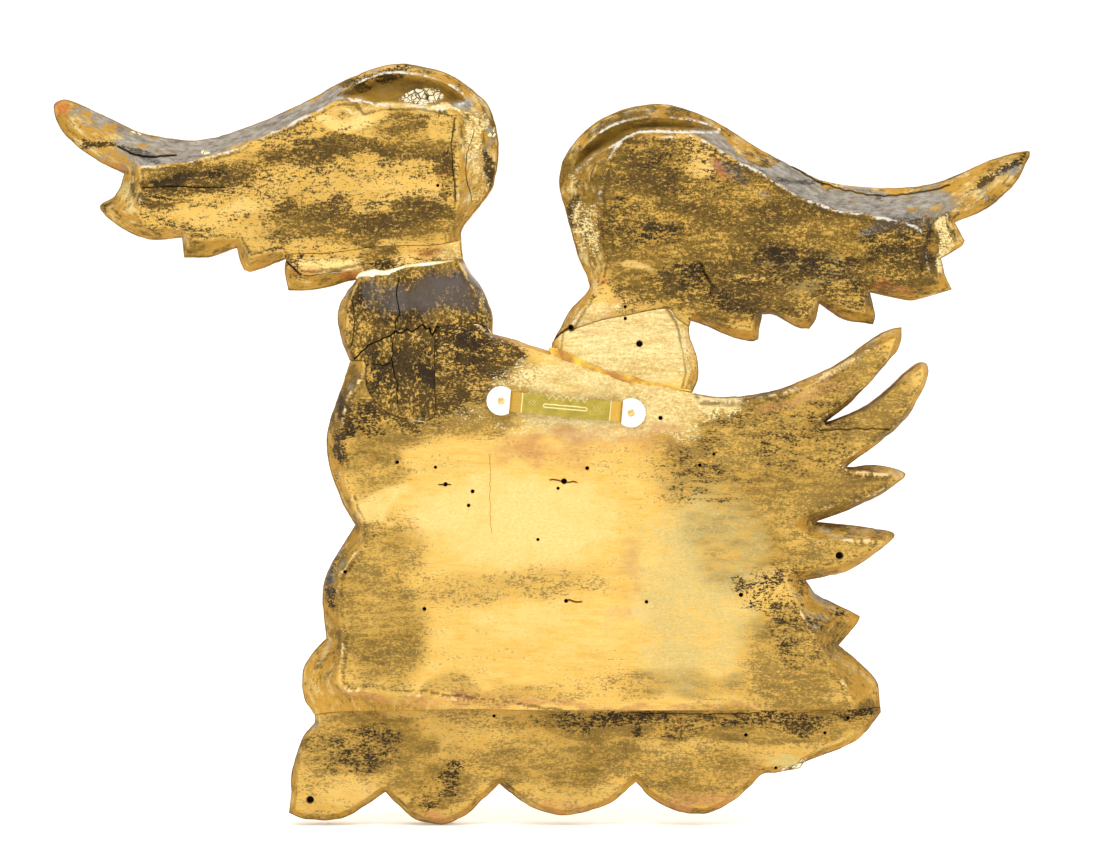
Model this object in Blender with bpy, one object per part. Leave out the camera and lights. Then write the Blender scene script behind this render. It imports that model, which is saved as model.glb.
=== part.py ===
# Carved giltwood eagle wall plaque, seen from the wall side: +Y is the back, -Y the carved face, +Z up.
# The origin is the middle of the hanger strip, on the face that meets the wall.
import math

import bmesh
import bpy
import numpy as np
from mathutils import Vector
from mathutils.geometry import delaunay_2d_cdt

# Driving dimensions, in metres
PLAQUE_WIDTH = 0.560          # wing tip to wing tip
JOINT_GAP = 0.0003            # clearance between pieces that touch
PANEL_BACK = 0.0045           # depth of the body panel's back behind the wall plane
NECK_BACK = 0.0050
SHOULDER_BACK = 0.0058
WING_BACK = 0.0090
WING_STRIP_BACK = 0.0086
LOWER_BACK = 0.0140
PANEL_CHAMFER = 0.0105        # how far the worn chamfers fall from the flat to the rim
LEAF_CHAMFER = 0.0150
NECK_CHAMFER = 0.0080
WING_CHAMFER = 0.0085
SHOULDER_CHAMFER = 0.0050
WING_STRIP_CHAMFER = 0.0068
LOWER_CHAMFER = 0.0040
LOWER_CHAMFER_WIDTH = 7.0     # in drawing units; the other boards' chamfers start at their drawn flats
HOLLOW_DEPTH = 0.0060         # scoop behind each wing's bend
WING_FACE = 0.0235            # depth of the carved ground on the face
PANEL_FACE = 0.0330
LOWER_FACE = 0.0320
WING_GROUND = 0.0225          # depth of the wood between the carved forms
PANEL_GROUND = 0.0290
LOWER_GROUND = 0.0290
EDGE_ROUND = 0.0025           # the face rounds over towards its outline
FEATHER_DROP = 3.0            # slope of the cut beside a feather
QUILL_WIDTH = 0.65            # a feather's width at its root, as a share of its full width
FORM_INSET = 0.05             # a form's line runs just inside its edge, and the foot of its cut outside it,
CUT_WIDTH = 1.7               # both in drawing units
FORM_SLACK = 0.0002           # how far another form may stand over each of those lines before it is hidden
CUT_SLACK = 0.0035
HOLLOW_SIDE = 7.0             # width of a hollow's sloping side, in drawing units
HOLLOW_FLOOR = 0.72           # size of a hollow's floor, as a share of the hollow
FACE_GRID = 0.0105            # spacing of the face's points between its carved lines
GRID_CLEARANCE = 0.45         # how near they come to a line, as a share of that spacing
RIM_MARGIN = 1.2              # how near a carved line comes to the outline, in drawing units
OUTLINE_STEP = 0.0110         # longest straight run in an outline
OUTLINE_FLAT = 0.00030        # how far an outline may cut a curve's corner
SHARP_EDGE = math.radians(35)
LEVEL_FACES = math.radians(1.2)

STRIP_LENGTH = 0.0634
STRIP_HEIGHT = 0.0114
STRIP_THICK = 0.0009
STRIP_STEP = 0.0065           # length of each sloping end
TAB_MARGIN = 0.0045           # brass left beyond each nail, and above and below it
TOOTH_PITCH = 0.0040
TOOTH_DEPTH = 0.0022
TOOTH_WIDTH = 0.70            # share of the pitch
TOOTH_COUNT = 6
STRIP_TILT = math.radians(5.3)
PLATE_RADIUS = 0.0083
PLATE_INSET = 0.0050          # from a plate's straight side to its nail
PLATE_THICK = 0.0012
PLATE_DOME = 0.0004
PLATE_LEVEL = 0.6             # share of the radius where the dome's level top begins
PLATE_CROWN = 0.7             # share of the outline where its crease runs
NAIL_HEAD_RADIUS = 0.0027
NAIL_HEAD_RISE = 0.0009
NAIL_HEAD_LIP = 0.0002
NAIL_SHANK_RADIUS = 0.0009
NAIL_LENGTH = 0.0160
NAIL_POINT = 0.0020
NAIL_SIDES = 16
BORE_REACH = 0.0020           # how far a nail's bore starts outside the wall plane

# Outlines are drawn on a sheet 980 units wide, x to the right and y down as seen from the back
DRAWING_WIDTH = 980.0
HANGER_AT = (566.0, 407.0)
UNIT = PLAQUE_WIDTH / DRAWING_WIDTH
GAP = JOINT_GAP / UNIT
NAIL_PLACE = STRIP_LENGTH / 2 + JOINT_GAP + PLATE_INSET

# Seams that two pieces share, from left to right
WING_SEAM = [(286, 258), (290, 254.5), (331, 253.5), (370, 248), (402, 246), (432, 246), (461, 241)]
NECK_TOP = [(357, 279), (375, 276), (386, 275), (408, 268), (432, 266), (463, 259)]
NECK_FOOT = [(350, 361), (366, 363), (367, 385), (375, 400), (390, 414), (417, 421), (432, 419), (436, 408),
             (436, 337), (450, 326), (482, 325), (492, 333.5)]
SHOULDER_SEAM = [(552, 343), (563, 333), (576, 329), (600, 321), (625, 316), (662, 309), (671, 311),
                 (676, 319), (689, 327)]
SHOULDER_FOOT = [(551, 351.5), (563, 355), (586, 367), (629, 380), (692, 393)]
PANEL_FOOT = [(314, 715), (340, 711), (381, 710), (479, 708), (560, 709), (740, 709), (881.5, 708)]


def world(points):
    # A point of the drawing as x and z in metres
    points = np.asarray(points, float)
    return np.stack([(HANGER_AT[0] - points[:, 0]) * UNIT, (HANGER_AT[1] - points[:, 1]) * UNIT], axis=1)


def smooth(points, step=3.0):
    # A Catmull-Rom curve through the points
    pts = np.asarray(points, float)
    if len(pts) < 3:
        return pts
    ends = np.vstack([2 * pts[0] - pts[1], pts, 2 * pts[-1] - pts[-2]])
    out = []
    for a, b, c, d in zip(ends[:-3], ends[1:-2], ends[2:-1], ends[3:]):
        count = max(1, int(np.linalg.norm(c - b) / step))
        t = (np.arange(count) / count)[:, None]
        square, cube = 2 * a - 5 * b + 4 * c - d, 3 * b - a - 3 * c + d
        out.append(0.5 * (2 * b + (c - a) * t + square * t**2 + cube * t**3))
    return np.vstack(out + [pts[-1:]])


def thin_out(points, slack):
    # Keeps only the points that a line needs to stay within slack of itself
    if len(points) < 3:
        return points
    a, b = points[0], points[-1]
    run = b - a
    length = np.hypot(*run)
    if length < 1e-9:
        off = np.hypot(*(points - a).T)
    else:
        off = np.abs((points[:, 0] - a[0]) * run[1] - (points[:, 1] - a[1]) * run[0]) / length
    far = int(off.argmax())
    if off[far] <= slack:
        return np.vstack([a, b])
    return np.vstack([thin_out(points[:far + 1], slack)[:-1], thin_out(points[far:], slack)])


def divide(points, longest):
    out = []
    for a, b in zip(points[:-1], points[1:]):
        count = max(1, math.ceil(np.hypot(*(b - a)) / longest))
        out.append(a + (b - a) * (np.arange(count) / count)[:, None])
    return np.vstack(out + [points[-1:]])


def seam(points, across):
    # One side of a joint: the seam moved sideways by half the gap, up the drawing where it runs to the right
    line = thin_out(smooth(points), OUTLINE_FLAT / UNIT)
    run = np.diff(line, axis=0)
    run /= np.hypot(*run.T)[:, None]
    side = np.stack([run[:, 1], -run[:, 0]], axis=1)
    before, after = np.vstack([side[:1], side]), np.vstack([side, side[-1:]])
    miter = (before + after) / (1 + (before * after).sum(axis=1))[:, None]
    return line + miter * across * GAP / 2


def outline(stretches):
    # Joins free stretches (lists of points, made smooth) and seams (lines as they are) into one closed outline
    runs = []
    for k, stretch in enumerate(stretches):
        if isinstance(stretch, list):
            line = divide(thin_out(smooth(stretch), OUTLINE_FLAT / UNIT), OUTLINE_STEP / UNIT)
            runs.append(line[1 if isinstance(stretches[k - 1], np.ndarray) else 0:-1])
        else:
            runs.append(divide(stretch, OUTLINE_STEP / UNIT))
    return np.vstack(runs)


def distance(points, line, closed=False):
    # Shortest distance from each point to a line
    ends = np.roll(line, -1, axis=0) if closed else line[1:]
    starts = line if closed else line[:-1]
    best = np.full(len(points), np.inf)
    for a, b in zip(starts, ends):
        run = b - a
        share = np.clip(((points - a) @ run) / max(run @ run, 1e-12), 0, 1)
        best = np.minimum(best, np.hypot(*(points - a - share[:, None] * run).T))
    return best


def inside(points, ring):
    hits = np.zeros(len(points), bool)
    for a, b in zip(ring, np.roll(ring, -1, axis=0)):
        crosses = (a[1] > points[:, 1]) != (b[1] > points[:, 1])
        if abs(b[1] - a[1]) > 1e-12:
            at = a[0] + (points[:, 1] - a[1]) * (b[0] - a[0]) / (b[1] - a[1])
            hits ^= crosses & (points[:, 0] < at)
    return hits


def place_along(points, line):
    # Share of the line's length at the nearest point, and the signed distance from the line
    lengths = np.hypot(*np.diff(line, axis=0).T)
    before = np.concatenate([[0], np.cumsum(lengths)])
    best = np.full(len(points), np.inf)
    share_of = np.zeros(len(points))
    side_of = np.zeros(len(points))
    for k, (a, b) in enumerate(zip(line[:-1], line[1:])):
        run = b - a
        share = np.clip(((points - a) @ run) / (run @ run), 0, 1)
        off = points - a - share[:, None] * run
        far = np.hypot(*off.T)
        near = far < best
        best = np.where(near, far, best)
        share_of = np.where(near, (before[k] + share * lengths[k]) / before[-1], share_of)
        side_of = np.where(near, np.sign(run[0] * off[:, 1] - run[1] * off[:, 0]) * far, side_of)
    return share_of, side_of


def bow(root, bend, tip, count=10):
    # A line from root to tip, drawn towards the bend
    root, bend, tip = (np.array(point, float) for point in (root, bend, tip))
    t = np.linspace(0, 1, count + 1)[:, None]
    return (1 - t)**2 * root + 2 * t * (1 - t) * bend + t**2 * tip


class Feather:
    # A long leaf on a bowed quill: crowned, one edge lifted, with a rounded tip, level or lying on mounds
    def __init__(self, root, bend, tip, half, base, tilt=0.0016, crown=0.0012, rise=0.0, blunt=0.30, on=()):
        self.line = bow(root, bend, tip, 4 if on else 10)
        self.half, self.base, self.tilt, self.on = half, base, tilt, on
        self.crown, self.rise, self.blunt = crown, rise, blunt

    def width(self, share):
        round_end = np.clip((share - (1 - self.blunt)) / self.blunt, 0, 1)
        widening = QUILL_WIDTH + (1 - QUILL_WIDTH) * np.minimum(1, share / 0.3)
        return self.half * np.sqrt(1 - round_end**2) * widening

    def height(self, points):
        share, side = place_along(points, self.line)
        half = self.width(share)
        across = np.clip(side / self.half, -1, 1)
        top = self.base + self.rise * share + self.tilt * across + self.crown * (1 - across**2)
        if self.on:
            top += np.max([mound.height(points) for mound in self.on], axis=0)
        return top - FEATHER_DROP * UNIT * np.maximum(0, np.abs(side) - half)

    def edges(self, grow):
        share = np.linspace(0.12, 1, 12)
        run = np.gradient(self.line, axis=0)
        knots = np.linspace(0, 1, len(self.line))
        at = np.stack([np.interp(share, knots, self.line[:, i]) for i in (0, 1)], axis=1)
        run = np.stack([np.interp(share, knots, run[:, i]) for i in (0, 1)], axis=1)
        run /= np.linalg.norm(run, axis=1)[:, None]
        normal = np.stack([-run[:, 1], run[:, 0]], axis=1)
        half = self.width(share)[:, None]
        tip = at[-1:] + run[-1:] * grow
        return [np.vstack([at[:-1] + normal[:-1] * (half[:-1] + grow), tip]),
                np.vstack([at[:-1] - normal[:-1] * (half[:-1] + grow), tip])]


class Mound:
    # A rounded swelling, oval in plan, such as the breast, a thigh, the skull or a cloud
    def __init__(self, centre, radii, base, rise, turn=0.0):
        self.centre, self.radii = np.array(centre, float), np.array(radii, float)
        self.base, self.rise, self.turn = base, rise, math.radians(turn)

    def reach(self, points):
        x, y = (points - self.centre).T
        c, s = math.cos(self.turn), math.sin(self.turn)
        return np.hypot((x * c + y * s) / self.radii[0], (y * c - x * s) / self.radii[1])

    def height(self, points):
        reach = self.reach(points)
        dome = self.base + self.rise * np.sqrt(np.clip(1 - reach**2, 0, 1))
        return dome - FEATHER_DROP * UNIT * self.radii.min() * np.maximum(0, reach - 1)

    def edges(self, grow):
        turn = np.linspace(0, 2 * math.pi, 22)
        oval = np.stack([np.cos(turn) * (self.radii[0] + grow), np.sin(turn) * (self.radii[1] + grow)], axis=1)
        c, s = math.cos(self.turn), math.sin(self.turn)
        return [self.centre + oval @ np.array([[c, s], [-s, c]])]


class Ridge:
    # A rounded bar along a curve, such as a toe, the beak, a brow or the bead of the wing's bend
    def __init__(self, line, half, base, rise, end=1.0):
        self.line = smooth(line, 9.0)
        self.half, self.base, self.rise, self.end = half, base, rise, end

    def height(self, points):
        share, side = place_along(points, self.line)
        half = self.half * (1 + (self.end - 1) * share)
        reach = np.abs(side) / half
        dome = self.base + self.rise * (0.4 + 0.6 * half / self.half) * np.sqrt(np.clip(1 - reach**2, 0, 1))
        return dome - FEATHER_DROP * UNIT * np.maximum(0, np.abs(side) - half)

    def edges(self, grow):
        run = np.gradient(self.line, axis=0)
        run /= np.linalg.norm(run, axis=1)[:, None]
        normal = np.stack([-run[:, 1], run[:, 0]], axis=1)
        half = self.half * (1 + (self.end - 1) * np.linspace(0, 1, len(self.line)))[:, None] + grow
        return [self.line + normal * half, self.line - normal * half, self.line]


def row(count, roots, bends, tips, half, base, **more):
    # Feathers side by side, their roots, bends and tips spread evenly between two ends
    out = []
    for k in range(count):
        t = k / max(1, count - 1)
        ends = [tuple((1 - t) * np.array(pair[0]) + t * np.array(pair[1])) for pair in (roots, bends, tips)]
        out.append(Feather(*ends, half, base, **more))
    return out


def plumage(start, middle, end, rows, widest, half, on):
    # Short feathers in rows across a bowed line, each row staggered and lying over the next one's roots
    line = bow(start, middle, end, rows)
    run = np.gradient(line, axis=0)
    run /= np.hypot(*run.T)[:, None]
    out = []
    for k, (at, ahead) in enumerate(zip(line, run)):
        beside = np.array([-ahead[1], ahead[0]])
        reach = widest * (0.62 + 0.38 * math.sin(math.pi * k / rows))
        count = max(2, round(reach / half) + k % 2)
        for place in np.linspace(-reach, reach, count):
            foot = at + beside * place
            bend, tip = foot + ahead * half, foot + ahead * half * 2.9
            out.append(Feather(foot, bend, tip, half * 1.08, 0.0006, tilt=0.0, rise=0.0020, blunt=0.55, on=on))
    return out


def left_wing_carving():
    face = WING_FACE
    flight = [Feather((460, 100), (215, 205), (50, 104), 25, face + 0.0016, tilt=0.0022, rise=-0.003),
              Feather((460, 150), (235, 235), (94, 206), 25, face + 0.0008, tilt=0.0022, rise=-0.002),
              Feather((460, 185), (300, 245), (176, 258), 21, face + 0.0006, rise=-0.001, blunt=0.12),
              Feather((460, 215), (350, 250), (232, 270), 18, face + 0.0004, rise=-0.001, blunt=0.12),
              Feather((470, 243), (380, 262), (280, 279), 19, face + 0.0002, blunt=0.12)]
    covers = row(6, [(450, 105), (465, 235)], [(370, 100), (400, 235)], [(268, 138), (352, 246)],
                 15, face + 0.0030)
    covers += row(5, [(465, 100), (480, 215)], [(410, 92), (430, 205)], [(335, 112), (392, 226)],
                  15, face + 0.0058)
    covers += row(4, [(480, 105), (488, 190)], [(440, 92), (450, 185)], [(392, 100), (425, 205)],
                  14, face + 0.0085)
    lead = [Ridge([(60, 108), (134, 140), (200, 148), (250, 137), (320, 105), (380, 80), (430, 78),
                   (475, 104), (487, 142), (483, 180), (464, 215)], 9, face + 0.0015, 0.0055)]
    return flight + covers + lead


def right_wing_carving():
    face = WING_FACE
    flight = [Feather((590, 150), (860, 255), (1036, 151), 24, face + 0.0012, tilt=-0.0022, rise=-0.003),
              Feather((600, 180), (820, 265), (970, 239), 22, face + 0.0010, tilt=-0.0022, rise=-0.002),
              Feather((600, 205), (800, 290), (957, 288),
                      20, face + 0.0008, tilt=-0.0022, rise=-0.001, blunt=0.14),
              Feather((605, 230), (760, 295), (880, 322),
                      18, face + 0.0006, tilt=-0.0022, rise=-0.001, blunt=0.14),
              Feather((610, 255), (720, 300), (813, 329), 17, face + 0.0004, tilt=-0.0022, blunt=0.14),
              Feather((620, 285), (690, 312), (764, 342), 17, face + 0.0002, tilt=-0.0022, blunt=0.14)]
    covers = row(7, [(640, 140), (600, 300)], [(720, 165), (660, 305)], [(812, 208), (704, 330)],
                 15, face + 0.0030, tilt=-0.0016)
    covers += row(6, [(620, 135), (590, 290)], [(680, 145), (630, 290)], [(742, 172), (655, 318)],
                  15, face + 0.0058, tilt=-0.0016)
    covers += row(5, [(600, 145), (580, 255)], [(640, 140), (605, 260)], [(684, 146), (622, 288)],
                  14, face + 0.0085, tilt=-0.0016)
    lead = [Ridge([(1022, 156), (960, 183), (900, 196), (840, 190), (780, 166), (700, 125), (650, 114),
                   (600, 128), (573, 165), (576, 215), (592, 262)], 9, face + 0.0015, 0.0055)]
    return flight + covers + lead


def body_carving():
    face = PANEL_FACE
    tail = [Feather((560, 455), (760, 430), (906, 326), 29, face, rise=-0.006),
            Feather((560, 480), (770, 470), (934, 362), 26, face + 0.0006, rise=-0.006),
            Feather((560, 505), (760, 510), (911, 473), 24, face + 0.0012, rise=-0.006),
            Feather((560, 530), (750, 548), (900, 534), 23, face + 0.0018, rise=-0.006)]
    tail += row(4, [(520, 450), (520, 545)], [(590, 440), (590, 555)], [(672, 420),
                    (665, 550)], 18, face + 0.0040)
    neck = Mound((398, 385), (56, 84), face - 0.004, 0.0235, turn=-6)
    breast = Mound((448, 480), (126, 92), face - 0.003, 0.0210, turn=26)
    shoulder = Mound((612, 388), (96, 60), face - 0.005, 0.0110, turn=10)
    body = [neck, breast, shoulder]
    body += plumage((548, 352), (620, 352), (690, 430), 4, 42, 16, (shoulder,))
    body += plumage((398, 348), (404, 470), (590, 522), 7, 74, 17, (neck, breast))
    legs = [Mound((468, 585), (34, 62), face + 0.002, 0.0120, turn=12),
            Mound((565, 590), (32, 56), face + 0.001, 0.0100, turn=-14)]
    toes = []
    for x, y in ((452, 650), (590, 648)):
        for spread in (-26, -2, 24):
            line = [(x, y), (x + spread * 0.8, y + 16), (x + spread * 1.3, y + 36)]
            toes.append(Ridge(line, 7.5, face + 0.004, 0.0070, end=0.35))
    clouds = [Mound((355, 585), (36, 52), face - 0.005, 0.0080), Mound((340, 680), (42, 40),
                    face - 0.004, 0.0090),
              Mound((400, 655), (48, 44), face - 0.002, 0.0070), Mound((525, 680), (62, 42),
                    face - 0.001, 0.0080),
              Mound((650, 660), (66, 46), face - 0.002, 0.0080), Mound((640, 600), (58, 36),
                    face - 0.003, 0.0060),
              Mound((755, 655), (58, 50), face - 0.004, 0.0080), Mound((835, 690), (52, 36),
                    face - 0.007, 0.0070),
              Mound((822, 622), (46, 32), face - 0.008, 0.0070), Mound((740, 590), (56, 34),
                    face - 0.004, 0.0050)]
    return tail + body + legs + toes + clouds


def head_carving():
    face = PANEL_FACE
    skull = [Mound((400, 311), (60, 47), face - 0.002, 0.0330, turn=8)]
    brow = [Ridge([(396, 289), (422, 286), (446, 298)], 8, face + 0.0230, 0.0080)]
    eye = [Mound((428, 304), (7.5, 6.5), face + 0.0270, 0.0050)]
    beak = [Ridge([(438, 310), (462, 308), (482, 318), (488, 334)], 14, face + 0.0060, 0.0210, end=0.35),
            Ridge([(440, 328), (458, 330), (470, 334)], 7, face + 0.0060, 0.0110, end=0.5)]
    return skull + brow + eye + beak


def lower_carving():
    face = LOWER_FACE
    return [Mound((336, 775), (52, 50), face - 0.002, 0.0080), Mound((436, 775), (56, 52),
                  face - 0.001, 0.0085),
            Mound((562, 765), (68, 55), face - 0.001, 0.0090), Mound((690, 762), (62, 54),
                  face - 0.001, 0.0085),
            Mound((782, 735), (50, 42), face - 0.002, 0.0075), Mound((845, 715), (42, 36),
                  face - 0.003, 0.0065),
            Mound((385, 730), (44, 34), face, 0.0055), Mound((497, 728), (52, 34), face + 0.001, 0.0060),
            Mound((628, 722), (54, 32), face + 0.001, 0.0060), Mound((735, 712), (44, 26), face, 0.0050)]


def topmost(points, carving, ground):
    high = np.full(len(points), ground)
    for form in carving:
        high = np.maximum(high, form.height(points))
    return high


class Board:
    # A carved board: its outline, its back flat with chamfers down to the rim, and what is carved on its face
    def __init__(self, stretches, back, chamfer, carving, ground, flat=None, chamfer_width=None, hollow=None,
                 deep=None):
        self.ring = outline(stretches)
        self.free = [thin_out(smooth(run), OUTLINE_FLAT / UNIT) for run in stretches if isinstance(run, list)]
        self.back, self.chamfer, self.carving, self.ground = back, chamfer, carving, ground
        self.flat = None if flat is None else np.array(flat, float)
        self.chamfer_width = chamfer_width
        self.hollow = None if hollow is None else smooth(hollow + hollow[:1], 6.0)[:-1]
        self.deep = deep

    def edge_distance(self, points):
        return np.min([distance(points, line) for line in self.free], axis=0)

    def back_depth(self, points):
        # Flat, then a straight fall from the flat's ridge to the rim, then the scoop
        edge = self.edge_distance(points)
        if self.flat is None:
            share = np.clip(1 - edge / self.chamfer_width, 0, 1)
        else:
            away = np.where(inside(points, self.flat), 0, distance(points, self.flat, closed=True))
            share = away / np.maximum(away + edge, 1e-6)
        fall = np.full(len(points), self.chamfer)
        if self.deep is not None:
            fall = np.where(inside(points, np.array(self.deep[0], float)), self.deep[1], fall)
        depth = self.back + fall * share
        if self.hollow is not None:
            reach = np.where(inside(points, self.hollow), distance(points, self.hollow, closed=True), 0)
            depth += HOLLOW_DEPTH * np.clip(reach / HOLLOW_SIDE, 0, 1)
        return depth

    def face_depth(self, points):
        # The highest of the carved forms, rounded over at the free outline
        near = np.clip(self.edge_distance(points) * UNIT / EDGE_ROUND, 0, 1)
        rounding = EDGE_ROUND * (1 - np.sqrt(1 - (1 - near)**2))
        return topmost(points, self.carving, self.ground) - rounding

    def back_lines(self):
        lines = []
        if self.flat is not None:
            lines.append(np.vstack([self.flat, self.flat[:1]]))
        if self.hollow is not None:
            loop = np.vstack([self.hollow, self.hollow[:1]])
            middle = self.hollow.mean(axis=0)
            lines.append(thin_out(loop, 0.5))
            lines.append(thin_out(middle + (loop - middle) * HOLLOW_FLOOR, 0.8))
        return lines

    def face_lines(self):
        # Each carved form's edge and, just outside it, the foot of its cut, where they are in sight
        lines, owners, hidden = [], [], []
        for form in self.carving:
            for grow, slack in ((-FORM_INSET, FORM_SLACK), (CUT_WIDTH, CUT_SLACK)):
                for line in form.edges(grow):
                    lines.append(line)
                    owners.append(form.height(line))
                    hidden.append(np.full(len(line), slack))
        if not lines:
            return []
        high = topmost(np.vstack(lines), self.carving, self.ground)
        seen = np.concatenate(owners) > high - np.concatenate(hidden)
        out, start = [], 0
        for line in lines:
            shown = seen[start:start + len(line)]
            start += len(line)
            for run in np.split(np.arange(len(line)), np.flatnonzero(np.diff(shown.astype(int))) + 1):
                if shown[run[0]] and len(run) > 1:
                    out.append(thin_out(line[run], 0.35))
        return out


def clipped(lines, ring):
    # The runs of each line that stay inside the outline by a margin
    out = []
    for line in lines:
        pts = divide(line, 9.0)
        keep = inside(pts, ring) & (distance(pts, ring, closed=True) > RIM_MARGIN)
        for run in np.split(np.arange(len(pts)), np.flatnonzero(np.diff(keep.astype(int))) + 1):
            if keep[run[0]] and len(run) > 1:
                out.append(thin_out(pts[run], 0.12))
    return out


def triangles(ring, lines, spacing):
    # Points and triangles inside the outline, with every carved line kept as an edge
    coords = [tuple(p) for p in ring]
    edges = []
    for line in lines:
        first = len(coords)
        coords += [tuple(p) for p in line]
        edges += [(k, k + 1) for k in range(first, len(coords) - 1)]
    taken = np.array(coords)
    if spacing:
        low, high = ring.min(axis=0), ring.max(axis=0)
        row_height = spacing * math.sqrt(3) / 2
        xs, ys = np.meshgrid(np.arange(low[0], high[0], spacing), np.arange(low[1], high[1], row_height))
        xs[1::2] += spacing / 2
        grid = np.stack([xs.ravel(), ys.ravel()], axis=1)
        clearance = GRID_CLEARANCE * spacing
        grid = grid[inside(grid, ring) & (distance(grid, ring, closed=True) > clearance)]
        near = np.array([np.hypot(*(taken - p).T).min() for p in grid]) if len(grid) else np.zeros(0)
        coords += [tuple(p) for p in grid[near > clearance]]
    found = delaunay_2d_cdt([Vector(p) for p in coords], edges, [list(range(len(ring)))], 1, 1e-4)
    points = np.array([tuple(p) for p in found[0]])
    home = {}
    for k, sources in enumerate(found[3]):
        for source in sources:
            home[source] = k
    return points, [tuple(face) for face in found[2]], [home[k] for k in range(len(ring))]


def solid(name, ring, back_lines, face_lines, back_depth, face_depth, spacing, place, colour, roughness,
          metallic=0.0):
    # Closes a back sheet and a face sheet over one outline with a wall
    mesh = bmesh.new()
    rims = []
    for lines, depth, grid in ((face_lines, face_depth, spacing), (back_lines, back_depth, 0)):
        points, faces, rim = triangles(ring, lines, grid)
        at = place(points)
        deep = depth(points)
        verts = [mesh.verts.new((x, -d, z)) for (x, z), d in zip(at, deep)]
        for face in faces:
            mesh.faces.new([verts[k] for k in face])
        rims.append([verts[k] for k in rim])
    face_rim, back_rim = rims
    for k in range(len(ring)):
        n = (k + 1) % len(ring)
        mesh.faces.new((face_rim[k], face_rim[n], back_rim[n], back_rim[k]))
    bmesh.ops.dissolve_limit(mesh, angle_limit=LEVEL_FACES, verts=mesh.verts, edges=mesh.edges)
    bmesh.ops.triangulate(mesh, faces=mesh.faces)
    bmesh.ops.recalc_face_normals(mesh, faces=mesh.faces)
    return finished(name, mesh, colour, roughness, metallic)


def finished(name, mesh, colour, roughness, metallic):
    data = bpy.data.meshes.new(name)
    mesh.to_mesh(data)
    mesh.free()
    data.shade_smooth()
    data.set_sharp_from_angle(angle=SHARP_EDGE)
    item = bpy.data.objects.new(name, data)
    bpy.context.scene.collection.objects.link(item)
    finish = bpy.data.materials.new(name)
    finish.use_nodes = True
    shader = finish.node_tree.nodes["Principled BSDF"]
    shader.inputs["Base Color"].default_value = (*colour, 1)
    shader.inputs["Roughness"].default_value = roughness
    shader.inputs["Metallic"].default_value = metallic
    data.materials.append(finish)
    return item


def carve(name, board, colour):
    back_lines = clipped(board.back_lines(), board.ring)
    face_lines = clipped(board.face_lines(), board.ring)
    return solid(name, board.ring, back_lines, face_lines, board.back_depth, board.face_depth, FACE_GRID / UNIT,
                 world, colour, 0.6)


for old in list(bpy.data.objects):
    bpy.data.objects.remove(old, do_unlink=True)


# The outlines, each a round of smooth stretches and seams that meet at corners
left_wing = Board(
    [seam(WING_SEAM, 1),
     [(461, 241), (462, 228), (474, 212), (494, 182), (499, 142), (490, 108), (475, 90), (453, 75), (423, 65),
      (402, 62.5), (378, 66), (344, 79), (300, 103), (247, 126), (200, 139), (167, 137), (134, 129),
      (106, 116), (73, 101), (60, 99), (52, 107), (62, 132), (91, 157), (123, 173)],
     [(123, 173), (119, 185), (113, 196)],
     [(113, 196), (98, 206), (113, 223), (147, 239), (181, 237)],
     [(181, 237), (183, 257)], [(183, 257), (207, 257), (236, 247)],
     [(236, 247), (239, 260), (243, 269.5)], [(243, 269.5), (253, 271), (286, 258)]],
    WING_BACK, WING_CHAMFER, left_wing_carving(), WING_GROUND,
    flat=[(144, 198), (141, 170), (180, 167), (224, 156), (260, 142), (294, 126), (326, 109), (341, 104),
          (358, 103), (365, 112), (383, 109), (421, 109), (441, 112), (455, 118), (457, 203), (448, 238),
          (447, 262), (290, 262), (283, 249), (252, 256), (241, 238), (190, 239), (185, 227), (150, 228),
          (140, 213)],
    hollow=[(331, 97), (381, 75), (421, 76), (446, 84), (466, 100), (441, 106), (383, 104), (358, 99)])

left_wing_strip = Board(
    [seam(WING_SEAM, -1), [(461, 241), (463, 259)], seam(NECK_TOP, 1)[::-1],
     [(357, 279), (331, 286), (308, 290), (288, 290)], [(288, 290), (284, 270), (286, 258)]],
    WING_STRIP_BACK, WING_STRIP_CHAMFER, left_wing_carving(), WING_GROUND,
    flat=[(291, 240), (291, 262), (302, 274), (340, 272), (362, 266), (372, 290), (480, 290), (480, 230)])

neck_block = Board(
    [seam(NECK_TOP, -1), [(463, 259), (472, 274), (483, 289), (492, 313), (492, 333.5)],
     seam(NECK_FOOT, 1)[::-1],
     [(350, 361), (343, 345), (338, 327), (338, 310), (345, 294), (357, 279)]],
    NECK_BACK, NECK_CHAMFER, head_carving() + body_carving(), PANEL_FACE,
    flat=[(364, 250), (362, 279), (357, 293), (350, 312), (346, 333), (354, 361), (354, 440), (484, 440),
          (484, 336), (482, 312), (472, 290), (458, 264), (458, 250)])

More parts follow.
